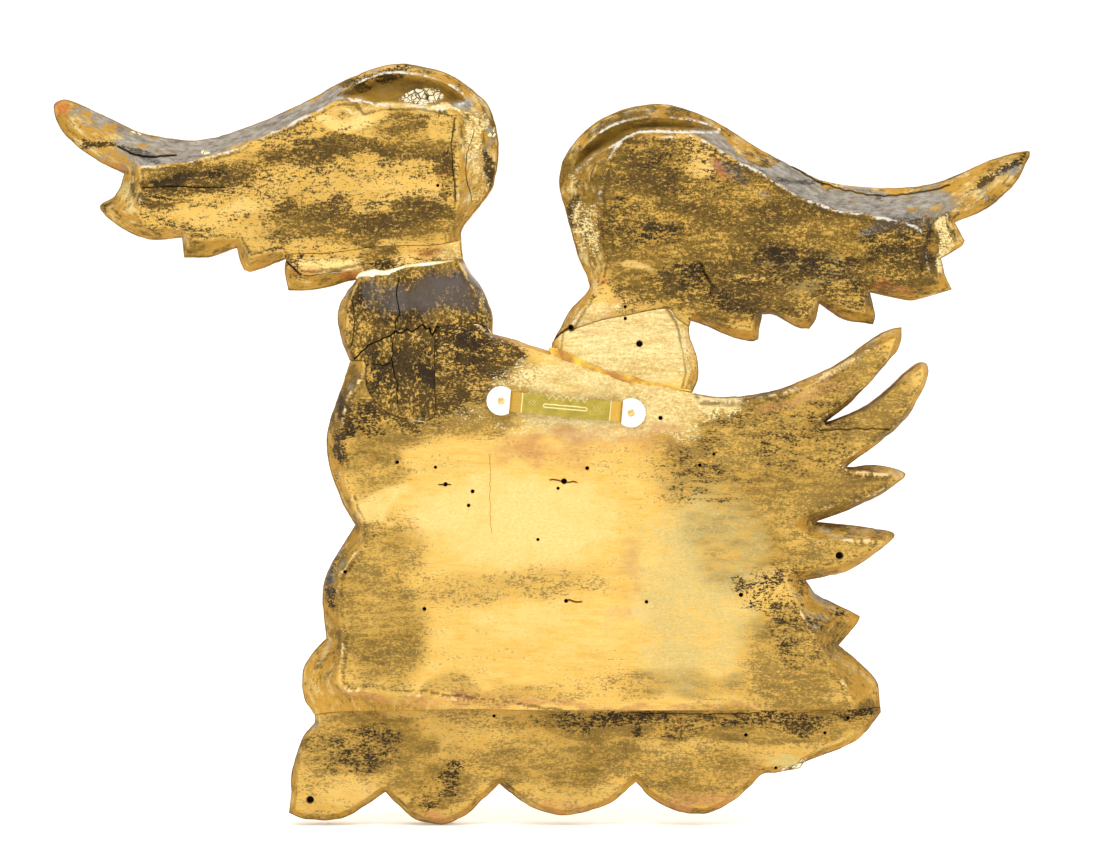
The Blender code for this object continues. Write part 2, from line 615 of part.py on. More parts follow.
right_wing = Board(
    [seam(SHOULDER_SEAM, 1), [(689, 327), (691, 320)],
     [(691, 320), (710, 327), (729, 336), (751, 341), (759, 339)],
     [(759, 339), (761, 326), (763, 314)], [(763, 314), (776, 315), (798, 327), (810, 328.5)],
     [(810, 328.5), (816, 321), (820, 303)], [(820, 303), (844, 319), (874, 324)],
     [(874, 324), (876, 314), (871, 292)], [(871, 292), (898, 298), (915, 300), (953, 289)],
     [(953, 289), (948, 278), (942, 258)], [(942, 258), (962, 247), (966, 240)], [(966, 240), (956, 222)],
     [(956, 222), (988, 208), (1015, 185), (1031, 156)],
     [(1031, 156), (1028, 150), (994, 158), (961, 173), (928, 184), (878, 187), (828, 181), (795, 166),
      (755, 145), (716, 120), (679, 106), (653, 103), (619, 110), (590, 126), (566, 153), (559, 180),
      (563, 203), (576, 249), (588, 278)],
     [(588, 278), (588, 289), (570, 310), (552, 343)]],
    WING_BACK, WING_CHAMFER, right_wing_carving() + body_carving(), WING_GROUND,
    flat=[(609, 161), (601, 197), (611, 240), (598, 290), (574, 325), (560, 360), (690, 360), (690, 312),
          (735, 328), (750, 330), (757, 308), (768, 306), (792, 318), (806, 318), (816, 294), (846, 309),
          (863, 311), (864, 284), (905, 286), (926, 276), (919, 232), (900, 224), (831, 212), (792, 196),
          (753, 173), (722, 155), (692, 138), (625, 141)],
    hollow=[(571, 176), (580, 152), (600, 134), (620, 124), (650, 118), (690, 121), (718, 130), (685, 132),
            (650, 131), (632, 134), (613, 145), (590, 158)])

right_shoulder_block = Board(
    [seam(SHOULDER_SEAM, -1), [(689, 327), (690, 337), (697, 358), (698, 378), (692, 393)],
     seam(SHOULDER_FOOT, 1)[::-1],
     [(551, 351.5), (552, 343)]],
    SHOULDER_BACK, SHOULDER_CHAMFER, right_wing_carving() + body_carving(), PANEL_GROUND,
    flat=[(566, 300), (560, 345), (556, 370), (680, 400), (687, 372), (683, 348), (676, 322), (664, 300)])

main_panel = Board(
    [seam(NECK_FOOT, -1), [(492, 333.5), (515, 339), (551, 351.5)], seam(SHOULDER_FOOT, -1),
     [(692, 393), (716, 396), (748, 395), (784, 387), (833, 366), (875, 337), (891, 329), (902, 327)],
     [(902, 327), (901, 345), (887, 364), (851, 403), (825, 423)],
     [(825, 423), (869, 404), (905, 373), (921, 362), (929, 366), (927, 383), (908, 417), (887, 437),
      (847, 467)],
     [(847, 467), (878, 465), (906, 474), (888, 491), (852, 509), (816, 522)],
     [(816, 522), (865, 527), (895, 534), (878, 552), (844, 573), (807, 581)],
     [(807, 581), (816, 594)], [(816, 594), (854, 613), (860, 621), (840, 646)],
     [(840, 646), (854, 657), (878, 682), (881.5, 708)], seam(PANEL_FOOT, 1)[::-1],
     [(314, 715), (303, 698), (303, 669), (318, 646), (326, 639)],
     [(326, 639), (322, 600), (328, 570), (355, 525)],
     [(355, 525), (343, 506), (329, 466), (327, 431), (339, 393), (350, 361)]],
    PANEL_BACK, PANEL_CHAMFER, body_carving() + lower_carving(), PANEL_GROUND,
    flat=[(365, 375), (350, 398), (343, 433), (347, 482), (359, 510), (367, 529), (373, 534), (356, 555),
          (342, 576), (341, 594), (345, 643), (342, 680), (350, 687), (374, 688), (436, 694), (473, 699),
          (560, 709), (560, 730), (856, 730), (843, 686), (822, 654), (803, 623), (790, 595), (784, 572),
          (835, 564), (864, 552), (882, 540), (839, 541), (814, 540), (783, 522), (815, 510), (850, 500),
          (880, 490), (897, 478), (845, 473), (835, 461), (868, 445), (892, 428), (908, 404), (919, 384),
          (921, 369), (905, 380), (870, 408), (826, 428), (818, 421), (850, 396), (868, 382), (885, 360),
          (893, 340), (857, 358), (833, 374), (784, 395), (748, 402), (700, 402), (690, 380), (551, 340),
          (551, 357), (515, 345), (495, 341), (470, 320), (365, 340)],
    deep=([(775, 573), (900, 573), (900, 730), (860, 730)], LEAF_CHAMFER))

lower_board = Board(
    [seam(PANEL_FOOT, -1), [(881.5, 708), (882, 713)],
     [(882, 713), (866, 734), (850, 746), (827, 755), (806, 763), (799, 770), (776, 774)],
     [(776, 774), (763, 776), (747, 791), (730, 805), (710, 814), (689, 815), (669, 809), (650, 798),
      (636, 783)],
     [(636, 783), (625, 793), (609, 805), (579, 815), (561, 817), (533, 809), (514, 797), (499, 785)],
     [(499, 785), (483, 801), (466, 816), (447, 825), (433, 825), (414, 820), (396, 805), (385, 793)],
     [(385, 793), (362, 809), (344, 819), (327, 822), (303, 820), (288, 814)],
     [(288, 814), (290, 797), (291, 772), (301, 740), (314, 723)], [(314, 723), (314, 715)]],
    LOWER_BACK, LOWER_CHAMFER, lower_carving() + body_carving(), LOWER_GROUND, chamfer_width=LOWER_CHAMFER_WIDTH)

OCHRE = (0.60, 0.42, 0.15)
DULL_OCHRE = (0.53, 0.39, 0.15)
BROWN = (0.42, 0.29, 0.10)
UMBER = (0.16, 0.10, 0.05)
CREAM = (0.78, 0.66, 0.36)
carve("left_wing", left_wing, OCHRE)
carve("left_wing_strip", left_wing_strip, OCHRE)
carve("neck_block", neck_block, UMBER)
carve("right_wing", right_wing, BROWN)
carve("right_shoulder_block", right_shoulder_block, CREAM)
panel = carve("main_panel", main_panel, DULL_OCHRE)
carve("lower_board", lower_board, DULL_OCHRE)


def hanger_point(points):
    # From the strip's own millimetres, along and across, to x and z
    along, across = -np.asarray(points).T[0] / 1000, np.asarray(points).T[1] / 1000
    c, s = math.cos(STRIP_TILT), math.sin(STRIP_TILT)
    return np.stack([along * c - across * s, along * s + across * c], axis=1)


TAB_BACK = PANEL_BACK - JOINT_GAP - STRIP_THICK
PLATE_FACE = TAB_BACK - JOINT_GAP


def strip_back(points):
    # Level in the middle, sloping at each end down to tabs that lie on the wood
    ends = STRIP_LENGTH / 2 * 1000
    return TAB_BACK * np.clip((np.abs(points[:, 0]) - ends) / (STRIP_STEP * 1000) + 1, 0, 1)


def hanger_strip():
    half, high, tab = STRIP_LENGTH * 500, STRIP_HEIGHT * 500, TAB_MARGIN * 1000
    reach = (NAIL_PLACE + TAB_MARGIN) * 1000
    corners = [(-half, high)]
    for k in range(TOOTH_COUNT):
        middle = (k - (TOOTH_COUNT - 1) / 2) * TOOTH_PITCH * 1000
        side = TOOTH_PITCH * TOOTH_WIDTH * 500
        corners += [(middle - side, high), (middle, high - TOOTH_DEPTH * 1000), (middle + side, high)]
    corners += [(half, high), (half, tab), (reach, tab), (reach, -tab), (half, -tab), (half, -high)]
    corners += [(-half, -high), (-half, -tab), (-reach, -tab), (-reach, tab), (-half, tab)]
    ring = np.array(corners)
    bend = half - STRIP_STEP * 1000
    lines = [np.array([(x, -high + 0.02), (x, high - 0.02)]) for x in (-bend, bend)]
    lines += [np.array([(x, -tab), (x, tab)]) for x in (-half, half)]
    return solid("hanger_strip", ring, lines, lines, strip_back, lambda p: strip_back(p) + STRIP_THICK, 0,
                 hanger_point, (0.55, 0.42, 0.16), 0.4, 1.0)


def hanger_plate(name, side):
    # A round plate with one straight side, slightly domed
    centre, radius = NAIL_PLACE * 1000, PLATE_RADIUS * 1000
    stop = math.acos(-PLATE_INSET / PLATE_RADIUS)
    turn = np.linspace(-stop, stop, 22)
    ring = np.stack([side * (centre + radius * np.cos(turn)), radius * np.sin(turn)], axis=1)
    middle = np.array([side * centre, 0.0])
    inner = middle + (ring - middle) * PLATE_CROWN

    def back(points):
        reach = np.hypot(points[:, 0] - side * centre, points[:, 1]) / radius
        return PLATE_FACE - PLATE_THICK - PLATE_DOME * np.clip((1 - reach) / (1 - PLATE_LEVEL), 0, 1)

    return solid(name, ring, [np.vstack([inner, inner[:1]])], [], back, lambda p: np.full(len(p), PLATE_FACE), 0,
                 hanger_point, (0.85, 0.84, 0.78), 0.35)


def turned(name, profile, at, colour, roughness, metallic):
    # Spins a profile of radius and depth round a line through the board
    mesh = bmesh.new()
    verts = [mesh.verts.new((at[0] + r, -d, at[1])) for r, d in profile]
    for a, b in zip(verts[:-1], verts[1:]):
        mesh.edges.new((a, b))
    bmesh.ops.spin(mesh, geom=mesh.verts[:] + mesh.edges[:], cent=(at[0], 0, at[1]), axis=(0, 1, 0),
                   angle=2 * math.pi, steps=NAIL_SIDES)
    bmesh.ops.remove_doubles(mesh, verts=mesh.verts, dist=1e-6)
    bmesh.ops.recalc_face_normals(mesh, faces=mesh.faces)
    return finished(name, mesh, colour, roughness, metallic)


def drilled(item, cutter):
    cut = item.modifiers.new(cutter.name, "BOOLEAN")
    cut.operation = "DIFFERENCE"
    cut.object = cutter


strip = hanger_strip()
crown = PLATE_FACE - PLATE_THICK - PLATE_DOME - JOINT_GAP
bore_radius, bore_end = NAIL_SHANK_RADIUS + JOINT_GAP, NAIL_LENGTH + JOINT_GAP
nail_profile = [(0, crown - NAIL_HEAD_RISE), (NAIL_HEAD_RADIUS * 0.6, crown - NAIL_HEAD_RISE * 0.8),
                (NAIL_HEAD_RADIUS, crown - NAIL_HEAD_LIP), (NAIL_HEAD_RADIUS, crown), (NAIL_SHANK_RADIUS, crown),
                (NAIL_SHANK_RADIUS, NAIL_LENGTH - NAIL_POINT), (0, NAIL_LENGTH)]
bore_profile = [(0, -BORE_REACH), (bore_radius, -BORE_REACH), (bore_radius, bore_end), (0, bore_end)]
for label, side in (("left", -1), ("right", 1)):
    plate = hanger_plate("hanger_plate_" + label, side)
    at = hanger_point([(side * NAIL_PLACE * 1000, 0)])[0]
    turned("hanger_nail_" + label, nail_profile, at, (0.72, 0.52, 0.2), 0.35, 1.0)
    bore = turned("nail_bore_" + label, bore_profile, at, (0.5, 0.5, 0.5), 0.5, 0.0)
    bore.hide_render = True
    bore.display_type = "WIRE"
    for piece in (panel, strip, plate):
        drilled(piece, bore)
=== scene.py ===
import math
from functools import partial

import bpy
import numpy as np
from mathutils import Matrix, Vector
from mathutils.geometry import delaunay_2d_cdt

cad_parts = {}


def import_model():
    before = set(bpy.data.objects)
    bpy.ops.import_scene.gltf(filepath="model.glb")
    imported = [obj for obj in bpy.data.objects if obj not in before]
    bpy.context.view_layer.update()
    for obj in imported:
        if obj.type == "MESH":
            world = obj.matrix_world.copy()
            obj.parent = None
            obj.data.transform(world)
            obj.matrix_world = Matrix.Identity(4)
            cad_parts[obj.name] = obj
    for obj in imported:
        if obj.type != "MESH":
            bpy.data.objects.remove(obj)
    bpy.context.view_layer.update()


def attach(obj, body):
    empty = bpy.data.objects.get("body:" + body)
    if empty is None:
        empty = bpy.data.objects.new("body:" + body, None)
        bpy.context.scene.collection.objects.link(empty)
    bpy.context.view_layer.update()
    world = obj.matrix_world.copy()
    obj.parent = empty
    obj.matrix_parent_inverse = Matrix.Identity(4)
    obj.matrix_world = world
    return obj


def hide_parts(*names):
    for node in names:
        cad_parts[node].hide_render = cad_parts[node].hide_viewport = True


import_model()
print("frame loaded")

# Sizes that the boards share with the CAD part, in metres
plaqueWidth = 0.560
jointGap = 0.0003
panelBack = 0.0045       # depth of each board's back behind the wall plane
neckBack = 0.0050
shoulderBack = 0.0058
wingBack = 0.0090
wingStripBack = 0.0086
lowerBack = 0.0140
panelChamfer = 0.0105    # fall of the chamfers from the flat to the rim
leafChamfer = 0.0150
neckChamfer = 0.0080
wingChamfer = 0.0085
shoulderChamfer = 0.0050
lowerChamfer = 0.0040
hollowDepth = 0.0060
wingFace = 0.0235        # depth of the carved ground on the face
panelFace = 0.0330
lowerFace = 0.0320
edgeRound = 0.0025
wall = 3.0               # how steeply a carved form's side falls to what lies under it

# Outlines are drawn on a sheet 980 units wide, x to the right and y down as seen from the back
hangerAt = (566.0, 407.0)
unit = plaqueWidth / 980
gap = jointGap / unit
outlineSlack = 0.08      # how far an outline may cut a curve's corner, in drawing units
outlineStep = 2.4        # spacing of an outline's points, in drawing units

wingSeam = [(286, 258), (290, 254.5), (331, 253.5), (370, 248), (402, 246), (432, 246), (461, 241)]
neckTop = [(357, 279), (375, 276), (386, 275), (408, 268), (432, 266), (463, 259)]
neckFoot = [(350, 361), (366, 363), (367, 385), (375, 400), (390, 414), (417, 421), (432, 419), (436, 408),
             (436, 337), (450, 326), (482, 325), (492, 333.5)]
shoulderSeam = [(552, 343), (563, 333), (576, 329), (600, 321), (625, 316), (662, 309), (671, 311), (676, 319), (689, 327)]
shoulderFoot = [(551, 351.5), (563, 355), (586, 367), (629, 380), (692, 393)]
panelFoot = [(314, 715), (340, 711), (381, 710), (479, 708), (560, 709), (740, 709), (881.5, 708)]


def world(points):
    # A point of the drawing as x and z in metres
    points = np.asarray(points, float)
    return (np.array(hangerAt) - points) * unit


def smooth(points, step=2.0):
    # A Catmull-Rom curve through the points
    pts = np.asarray(points, float)
    if len(pts) < 3:
        return pts
    ends = np.vstack([2 * pts[0] - pts[1], pts, 2 * pts[-1] - pts[-2]])
    out = []
    for a, b, c, d in zip(ends[:-3], ends[1:-2], ends[2:-1], ends[3:]):
        count = max(1, int(np.linalg.norm(c - b) / step))
        t = (np.arange(count) / count)[:, None]
        curve, twist = 2 * a - 5 * b + 4 * c - d, 3 * b - a - 3 * c + d
        out.append(0.5 * (2 * b + (c - a) * t + curve * t**2 + twist * t**3))
    return np.vstack(out + [pts[-1:]])


def thinOut(points, slack):
    # Keeps only the points that a line needs to stay within slack of itself
    if len(points) < 3:
        return points
    a, b = points[0], points[-1]
    run = b - a
    length = np.hypot(*run)
    if length < 1e-9:
        off = np.hypot(*(points - a).T)
    else:
        off = np.abs((points[:, 0] - a[0]) * run[1] - (points[:, 1] - a[1]) * run[0]) / length
    far = int(off.argmax())
    if off[far] <= slack:
        return np.vstack([a, b])
    return np.vstack([thinOut(points[:far + 1], slack)[:-1], thinOut(points[far:], slack)])


def divide(points, longest):
    # The same line with more points, none further from the next than longest
    out = []
    for a, b in zip(points[:-1], points[1:]):
        count = max(1, math.ceil(np.hypot(*(b - a)) / longest))
        out.append(a + (b - a) * (np.arange(count) / count)[:, None])
    return np.vstack(out + [points[-1:]])


def closed(line):
    # The line with its first point again at its end
    return np.vstack([line, line[:1]])


def circle(count):
    # Points of a circle of radius 1
    turn = np.linspace(0, 2 * math.pi, count, endpoint=False)
    return np.stack([np.cos(turn), np.sin(turn)], axis=1)


def turned(off, degrees):
    # The offsets' parts along and across a direction turned by so many degrees
    c, s = math.cos(math.radians(degrees)), math.sin(math.radians(degrees))
    return off[:, 0] * c + off[:, 1] * s, off[:, 1] * c - off[:, 0] * s


def sideways(run):
    # A vector of length 1 at right angles to each step of a run
    run = run / np.hypot(*run.T)[:, None]
    return np.stack([-run[:, 1], run[:, 0]], axis=1)


def seam(points, across):
    # One side of a joint: the seam moved sideways by half the gap, up the drawing where it runs to the right
    line = thinOut(smooth(points), outlineSlack)
    side = -sideways(np.diff(line, axis=0))
    before, after = np.vstack([side[:1], side]), np.vstack([side, side[-1:]])
    miter = (before + after) / (1 + (before * after).sum(axis=1))[:, None]
    return line + miter * across * gap / 2


def blocks(count, segments):
    # Slices of the points small enough to be set against every segment at once
    step = max(1, 3000000 // max(1, segments))
    return [slice(k, k + step) for k in range(0, count, step)]


def distance(points, line, ring=False):
    # Shortest distance from each point to a line, or to the ring that the line closes to
    ends = np.roll(line, -1, axis=0) if ring else line[1:]
    starts = line if ring else line[:-1]
    run = ends - starts
    length = np.maximum((run**2).sum(axis=1), 1e-12)
    best = np.empty(len(points))
    for part in blocks(len(points), len(starts)):
        dx = points[part, 0, None] - starts[:, 0]
        dy = points[part, 1, None] - starts[:, 1]
        share = np.minimum(np.maximum((dx * run[:, 0] + dy * run[:, 1]) / length, 0), 1)
        dx -= share * run[:, 0]
        dy -= share * run[:, 1]
        best[part] = np.sqrt((dx * dx + dy * dy).min(axis=1))
    return best


def inside(points, ring):
    # True where a line to the right of the point crosses the ring an odd number of times
    after = np.roll(ring, -1, axis=0)
    rise = after[:, 1] - ring[:, 1]
    lean = (after[:, 0] - ring[:, 0]) / np.where(np.abs(rise) < 1e-12, 1, rise)
    hits = np.empty(len(points), bool)
    for part in blocks(len(points), len(ring)):
        y = points[part, 1, None]
        crosses = (after[:, 1] > y) != (ring[:, 1] > y)
        crosses &= points[part, 0, None] < ring[:, 0] + (y - ring[:, 1]) * lean
        hits[part] = crosses.sum(axis=1) % 2 == 1
    return hits


def placeAlong(points, line):
    # Share of the line's length at the nearest point, and the signed distance from the line
    lengths = np.hypot(*np.diff(line, axis=0).T)
    before = np.concatenate([[0], np.cumsum(lengths)])
    best = np.full(len(points), np.inf)
    shareOf = np.zeros(len(points))
    sideOf = np.zeros(len(points))
    for k, (a, b) in enumerate(zip(line[:-1], line[1:])):
        run = b - a
        share = np.clip(((points - a) @ run) / (run @ run), 0, 1)
        off = points - a - share[:, None] * run
        far = np.hypot(*off.T)
        near = far < best
        best = np.where(near, far, best)
        shareOf = np.where(near, (before[k] + share * lengths[k]) / before[-1], shareOf)
        sideOf = np.where(near, np.sign(run[0] * off[:, 1] - run[1] * off[:, 0]) * far, sideOf)
    return shareOf, sideOf


def bow(root, bend, tip, count):
    # A quadratic curve from root to tip, drawn towards bend
    t = np.linspace(0, 1, count + 1)[:, None]
    root, bend, tip = (np.array(point, float) for point in (root, bend, tip))
    return (1 - t)**2 * root + 2 * t * (1 - t) * bend + t**2 * tip


feathers = {
    "barbPitch": 5.2,      # drawing units between the barbs' grooves, about 3 mm
    "barbLean": 1.3,       # how far the barbs point to the tip
    "quillWidth": 0.10,    # share of the feather's half width, at its middle
    "quillRise": 0.0007,   # m
    "edgeShown": 0.12}     # share of the length, from the root, where the edge comes into sight


class Feather:
    # A long leaf on a bowed quill: crowned, one edge lifted, with a rounded tip, level or lying on mounds
    def __init__(self, root, bend, tip, half, base, tilt=0.0016, crown=0.0012, rise=0.0, blunt=0.30, on=()):
        self.line = bow(root, bend, tip, 8 if on else 24)
        self.half, self.base, self.tilt, self.on = half, base, tilt, on
        self.crown, self.rise, self.blunt = crown, rise, blunt
        self.length = np.hypot(*np.diff(self.line, axis=0).T).sum()
        self.box = self.line.min(axis=0) - half, self.line.max(axis=0) + half

    def width(self, share):
        # Half the width: narrower towards the root, and rounded like an ellipse at the tip
        roundEnd = np.clip((share - (1 - self.blunt)) / self.blunt, 0, 1)
        return self.half * np.sqrt(1 - roundEnd**2) * (0.65 + 0.35 * np.minimum(1, share / 0.3))

    def height(self, points):
        # Base, rise to the tip, tilt and crown across and the quill, with a steep fall beyond the edge;
        # then the wear, on the edges, and the phase of the barbs
        share, side = placeAlong(points, self.line)
        half = self.width(share)
        across = np.clip(side / self.half, -1, 1)
        top = self.base + self.rise * share + self.tilt * across + self.crown * (1 - across**2)
        quill = feathers["quillWidth"] * self.half * (1.25 - share)
        top += feathers["quillRise"] * np.clip(1 - (side / quill)**2, 0, 1) * (share < 0.97)
        if self.on:
            top += np.max([mound.height(points)[0] for mound in self.on], axis=0)
        beyond = np.maximum(0, np.abs(side) - half)
        wear = np.where(beyond > 0, -1, np.clip(np.abs(side) / np.maximum(half, 1) * 5 - 4, 0, 1))
        barb = (share * self.length - np.abs(side) * feathers["barbLean"]) / feathers["barbPitch"]
        barb = np.where(np.abs(side) < quill, np.round(barb), barb)
        return top - wall * unit * beyond, wear, barb

    def edges(self, grow):
        # Both edges from root to tip, moved outwards by grow
        share = np.linspace(feathers["edgeShown"], 1, 14 if self.on else 48)
        knots = np.linspace(0, 1, len(self.line))
        at, run = (np.stack([np.interp(share, knots, path[:, i]) for i in (0, 1)], axis=1)
                   for path in (self.line, np.gradient(self.line, axis=0)))
        tip = at[-1:] + run[-1:] / np.hypot(*run[-1]) * grow
        side = sideways(run)[:-1] * (self.width(share)[:-1, None] + grow)
        return [np.vstack([at[:-1] + side, tip]), np.vstack([at[:-1] - side, tip])]


class Mound:
    # A rounded swelling, oval in plan, such as the breast, a thigh, the skull or a cloud
    def __init__(self, centre, radii, base, rise, turn=0.0):
        self.centre, self.radii = np.array(centre, float), np.array(radii, float)
        self.base, self.rise, self.turn = base, rise, turn
        self.box = self.centre - self.radii.max(), self.centre + self.radii.max()

    def height(self, points):
        # Half an ellipsoid on the base, with a steep fall beyond its rim
        along, across = turned(points - self.centre, self.turn)
        reach = np.hypot(along / self.radii[0], across / self.radii[1])
        dome = self.base + self.rise * np.sqrt(np.clip(1 - reach**2, 0, 1))
        wear = np.where(reach > 1, -1, np.clip(0.7 - 2.2 * reach, 0, 0.45))
        beyond = self.radii.min() * np.maximum(0, reach - 1)
        return dome - wall * unit * beyond, wear, np.zeros(len(points))

    def edges(self, grow):
        # The oval's rim, moved outwards by grow
        return [self.centre + np.stack(turned(closed(circle(63)) * (self.radii + grow), -self.turn), axis=1)]


def mounds(ground, rows):
    # Mounds without a turn, each row holding its centre, radii, and its depth's offset and rise in mm
    return [Mound((x, y), (a, b), ground + low / 1000, rise / 1000) for x, y, a, b, low, rise in rows]


class Ridge:
    # A rounded bar along a curve, such as a toe, the beak, a brow or the bead of the wing's bend
    def __init__(self, line, half, base, rise, end=1.0):
        self.line = smooth(line, 4.0)
        self.half, self.base, self.rise, self.end = half, base, rise, end
        self.box = self.line.min(axis=0) - half, self.line.max(axis=0) + half

    def height(self, points):
        # Half a round bar on the base, thinner where it is narrower, with a steep fall beyond its edges
        share, side = placeAlong(points, self.line)
        half = self.half * (1 + (self.end - 1) * share)
        reach = np.abs(side) / half
        dome = self.base + self.rise * (0.4 + 0.6 * half / self.half) * np.sqrt(np.clip(1 - reach**2, 0, 1))
        wear = np.where(reach > 1, -1, np.clip(0.8 - 2 * reach, 0, 0.7))
        return dome - wall * unit * np.maximum(0, np.abs(side) - half), wear, np.zeros(len(points))

    def edges(self, grow):
        # Both edges, moved outwards by grow, and the middle line
        half = self.half * (1 + (self.end - 1) * np.linspace(0, 1, len(self.line)))[:, None] + grow
        side = sideways(np.gradient(self.line, axis=0)) * half
        return [self.line + side, self.line - side, self.line]


def row(count, roots, bends, tips, half, base, **more):
    # Feathers side by side, their roots, bends and tips spread evenly between two ends
    out = []
    for k in range(count):
        t = k / max(1, count - 1)
        ends = [tuple((1 - t) * np.array(pair[0]) + t * np.array(pair[1])) for pair in (roots, bends, tips)]
        out.append(Feather(*ends, half, base, **more))
    return out


def plumage(root, bend, tip, rows, widest, half, on):
    # Short feathers in rows across a bowed line, each row staggered and lying over the next one's roots
    line = bow(root, bend, tip, rows)
    run = np.gradient(line, axis=0)
    run /= np.hypot(*run.T)[:, None]
    out = []
    for k, (at, ahead) in enumerate(zip(line, run)):
        beside = np.array([-ahead[1], ahead[0]])
        reach = widest * (0.62 + 0.38 * math.sin(math.pi * k / rows))
        count = max(2, round(reach / half) + k % 2)
        for place in np.linspace(-reach, reach, count):
            foot = at + beside * place
            out.append(Feather(foot, foot + ahead * half, foot + ahead * half * 2.9, half * 1.08, 0.0006,
                               tilt=0.0, rise=0.0020, blunt=0.55, on=on))
    return out


def leftWingCarving():
    # Five flight feathers, three rows of coverts over them and the bead of the wing's bend
    face = wingFace
    flight = [Feather((460, 100), (215, 205), (50, 104), 25, face + 0.0016, tilt=0.0022, rise=-0.003),
              Feather((460, 150), (235, 235), (94, 206), 25, face + 0.0008, tilt=0.0022, rise=-0.002),
              Feather((460, 185), (300, 245), (176, 258), 21, face + 0.0006, rise=-0.001, blunt=0.12),
              Feather((460, 215), (350, 250), (232, 270), 18, face + 0.0004, rise=-0.001, blunt=0.12),
              Feather((470, 243), (380, 262), (280, 279), 19, face + 0.0002, blunt=0.12)]
    covers = [feather for band in (
        row(6, [(450, 105), (465, 235)], [(370, 100), (400, 235)], [(268, 138), (352, 246)], 15, face + 0.0030),
        row(5, [(465, 100), (480, 215)], [(410, 92), (430, 205)], [(335, 112), (392, 226)], 15, face + 0.0058),
        row(4, [(480, 105), (488, 190)], [(440, 92), (450, 185)], [(392, 100), (425, 205)], 14, face + 0.0085))
        for feather in band]
    lead = [Ridge([(60, 108), (134, 140), (200, 148), (250, 137), (320, 105), (380, 80), (430, 78), (475, 104),
                   (487, 142), (483, 180), (464, 215)], 9, face + 0.0015, 0.0055)]
    return flight + covers + lead


def rightWingCarving():
    # As the left wing, with six flight feathers
    face = wingFace
    flight = [Feather(*ends, half, face + base, tilt=-0.0022, rise=rise, blunt=blunt)
              for *ends, half, base, rise, blunt in (
        ((590, 150), (860, 255), (1036, 151), 24, 0.0012, -0.003, 0.30),
        ((600, 180), (820, 265), (970, 239), 22, 0.0010, -0.002, 0.30),
        ((600, 205), (800, 290), (957, 288), 20, 0.0008, -0.001, 0.14),
        ((605, 230), (760, 295), (880, 322), 18, 0.0006, -0.001, 0.14),
        ((610, 255), (720, 300), (813, 329), 17, 0.0004, 0.0, 0.14),
        ((620, 285), (690, 312), (764, 342), 17, 0.0002, 0.0, 0.14))]
    covers = []
    for count, roots, bends, tips, half, base in (
            (7, [(640, 140), (600, 300)], [(720, 165), (660, 305)], [(812, 208), (704, 330)], 15, 0.0030),
            (6, [(620, 135), (590, 290)], [(680, 145), (630, 290)], [(742, 172), (655, 318)], 15, 0.0058),
            (5, [(600, 145), (580, 255)], [(640, 140), (605, 260)], [(684, 146), (622, 288)], 14, 0.0085)):
        covers += row(count, roots, bends, tips, half, face + base, tilt=-0.0016)
    lead = [Ridge([(1022, 156), (960, 183), (900, 196), (840, 190), (780, 166), (700, 125), (650, 114), (600, 128),
                   (573, 165), (576, 215), (592, 262)], 9, face + 0.0015, 0.0055)]
    return flight + covers + lead


def bodyCarving():
    # The tail, the feathered neck, breast and shoulder, legs and toes, and the cloud below
    face = panelFace
    tail = [Feather((560, 455), (760, 430), (906, 326), 29, face + 0.0000, rise=-0.006),
            Feather((560, 480), (770, 470), (934, 362), 26, face + 0.0006, rise=-0.006),
            Feather((560, 505), (760, 510), (911, 473), 24, face + 0.0012, rise=-0.006),
            Feather((560, 530), (750, 548), (900, 534), 23, face + 0.0018, rise=-0.006)]
    tail += row(4, [(520, 450), (520, 545)], [(590, 440), (590, 555)], [(672, 420), (665, 550)], 18,
                face + 0.0040)
    neck = Mound((398, 385), (56, 84), face - 0.004, 0.0235, turn=-6)
    breast = Mound((448, 480), (126, 92), face - 0.003, 0.0210, turn=26)
    shoulder = Mound((612, 388), (96, 60), face - 0.005, 0.0110, turn=10)
    body = [neck, breast, shoulder]
    body += plumage((548, 352), (620, 352), (690, 430), 4, 42, 16, (shoulder,))
    body += plumage((398, 348), (404, 470), (590, 522), 7, 74, 17, (neck, breast))
    legs = [Mound((468, 585), (34, 62), face + 0.002, 0.0120, turn=12),
            Mound((565, 590), (32, 56), face + 0.001, 0.0100, turn=-14)]
    toes = []
    for foot in ((452, 650), (590, 648)):
        for spread in (-26, -2, 24):
            joints = [foot, (foot[0] + spread * 0.8, foot[1] + 16), (foot[0] + spread * 1.3, foot[1] + 36)]
            toes.append(Ridge(joints, 7.5, face + 0.004, 0.0070, end=0.35))
    clouds = mounds(face, [
        (355, 585, 36, 52, -5, 8), (340, 680, 42, 40, -4, 9), (400, 655, 48, 44, -2, 7), (525, 680, 62, 42, -1, 8),
        (650, 660, 66, 46, -2, 8), (640, 600, 58, 36, -3, 6), (755, 655, 58, 50, -4, 8), (835, 690, 52, 36, -7, 7),
        (822, 622, 46, 32, -8, 7), (740, 590, 56, 34, -4, 5)])
    return tail + body + legs + toes + clouds


def headCarving():
    # Skull, brow, eye and hooked beak, turned to the photo's right
    face = panelFace
    skull = [Mound((400, 311), (60, 47), face - 0.002, 0.0330, turn=8)]
    brow = [Ridge([(396, 289), (422, 286), (446, 298)], 8, face + 0.0230, 0.0080)]
    eye = [Mound((428, 304), (7.5, 6.5), face + 0.0270, 0.0050)]
    beak = [Ridge([(438, 310), (462, 308), (482, 318), (488, 334)], 14, face + 0.0060, 0.0210, end=0.35),
            Ridge([(440, 328), (458, 330), (470, 334)], 7, face + 0.0060, 0.0110, end=0.5)]
    return skull + brow + eye + beak


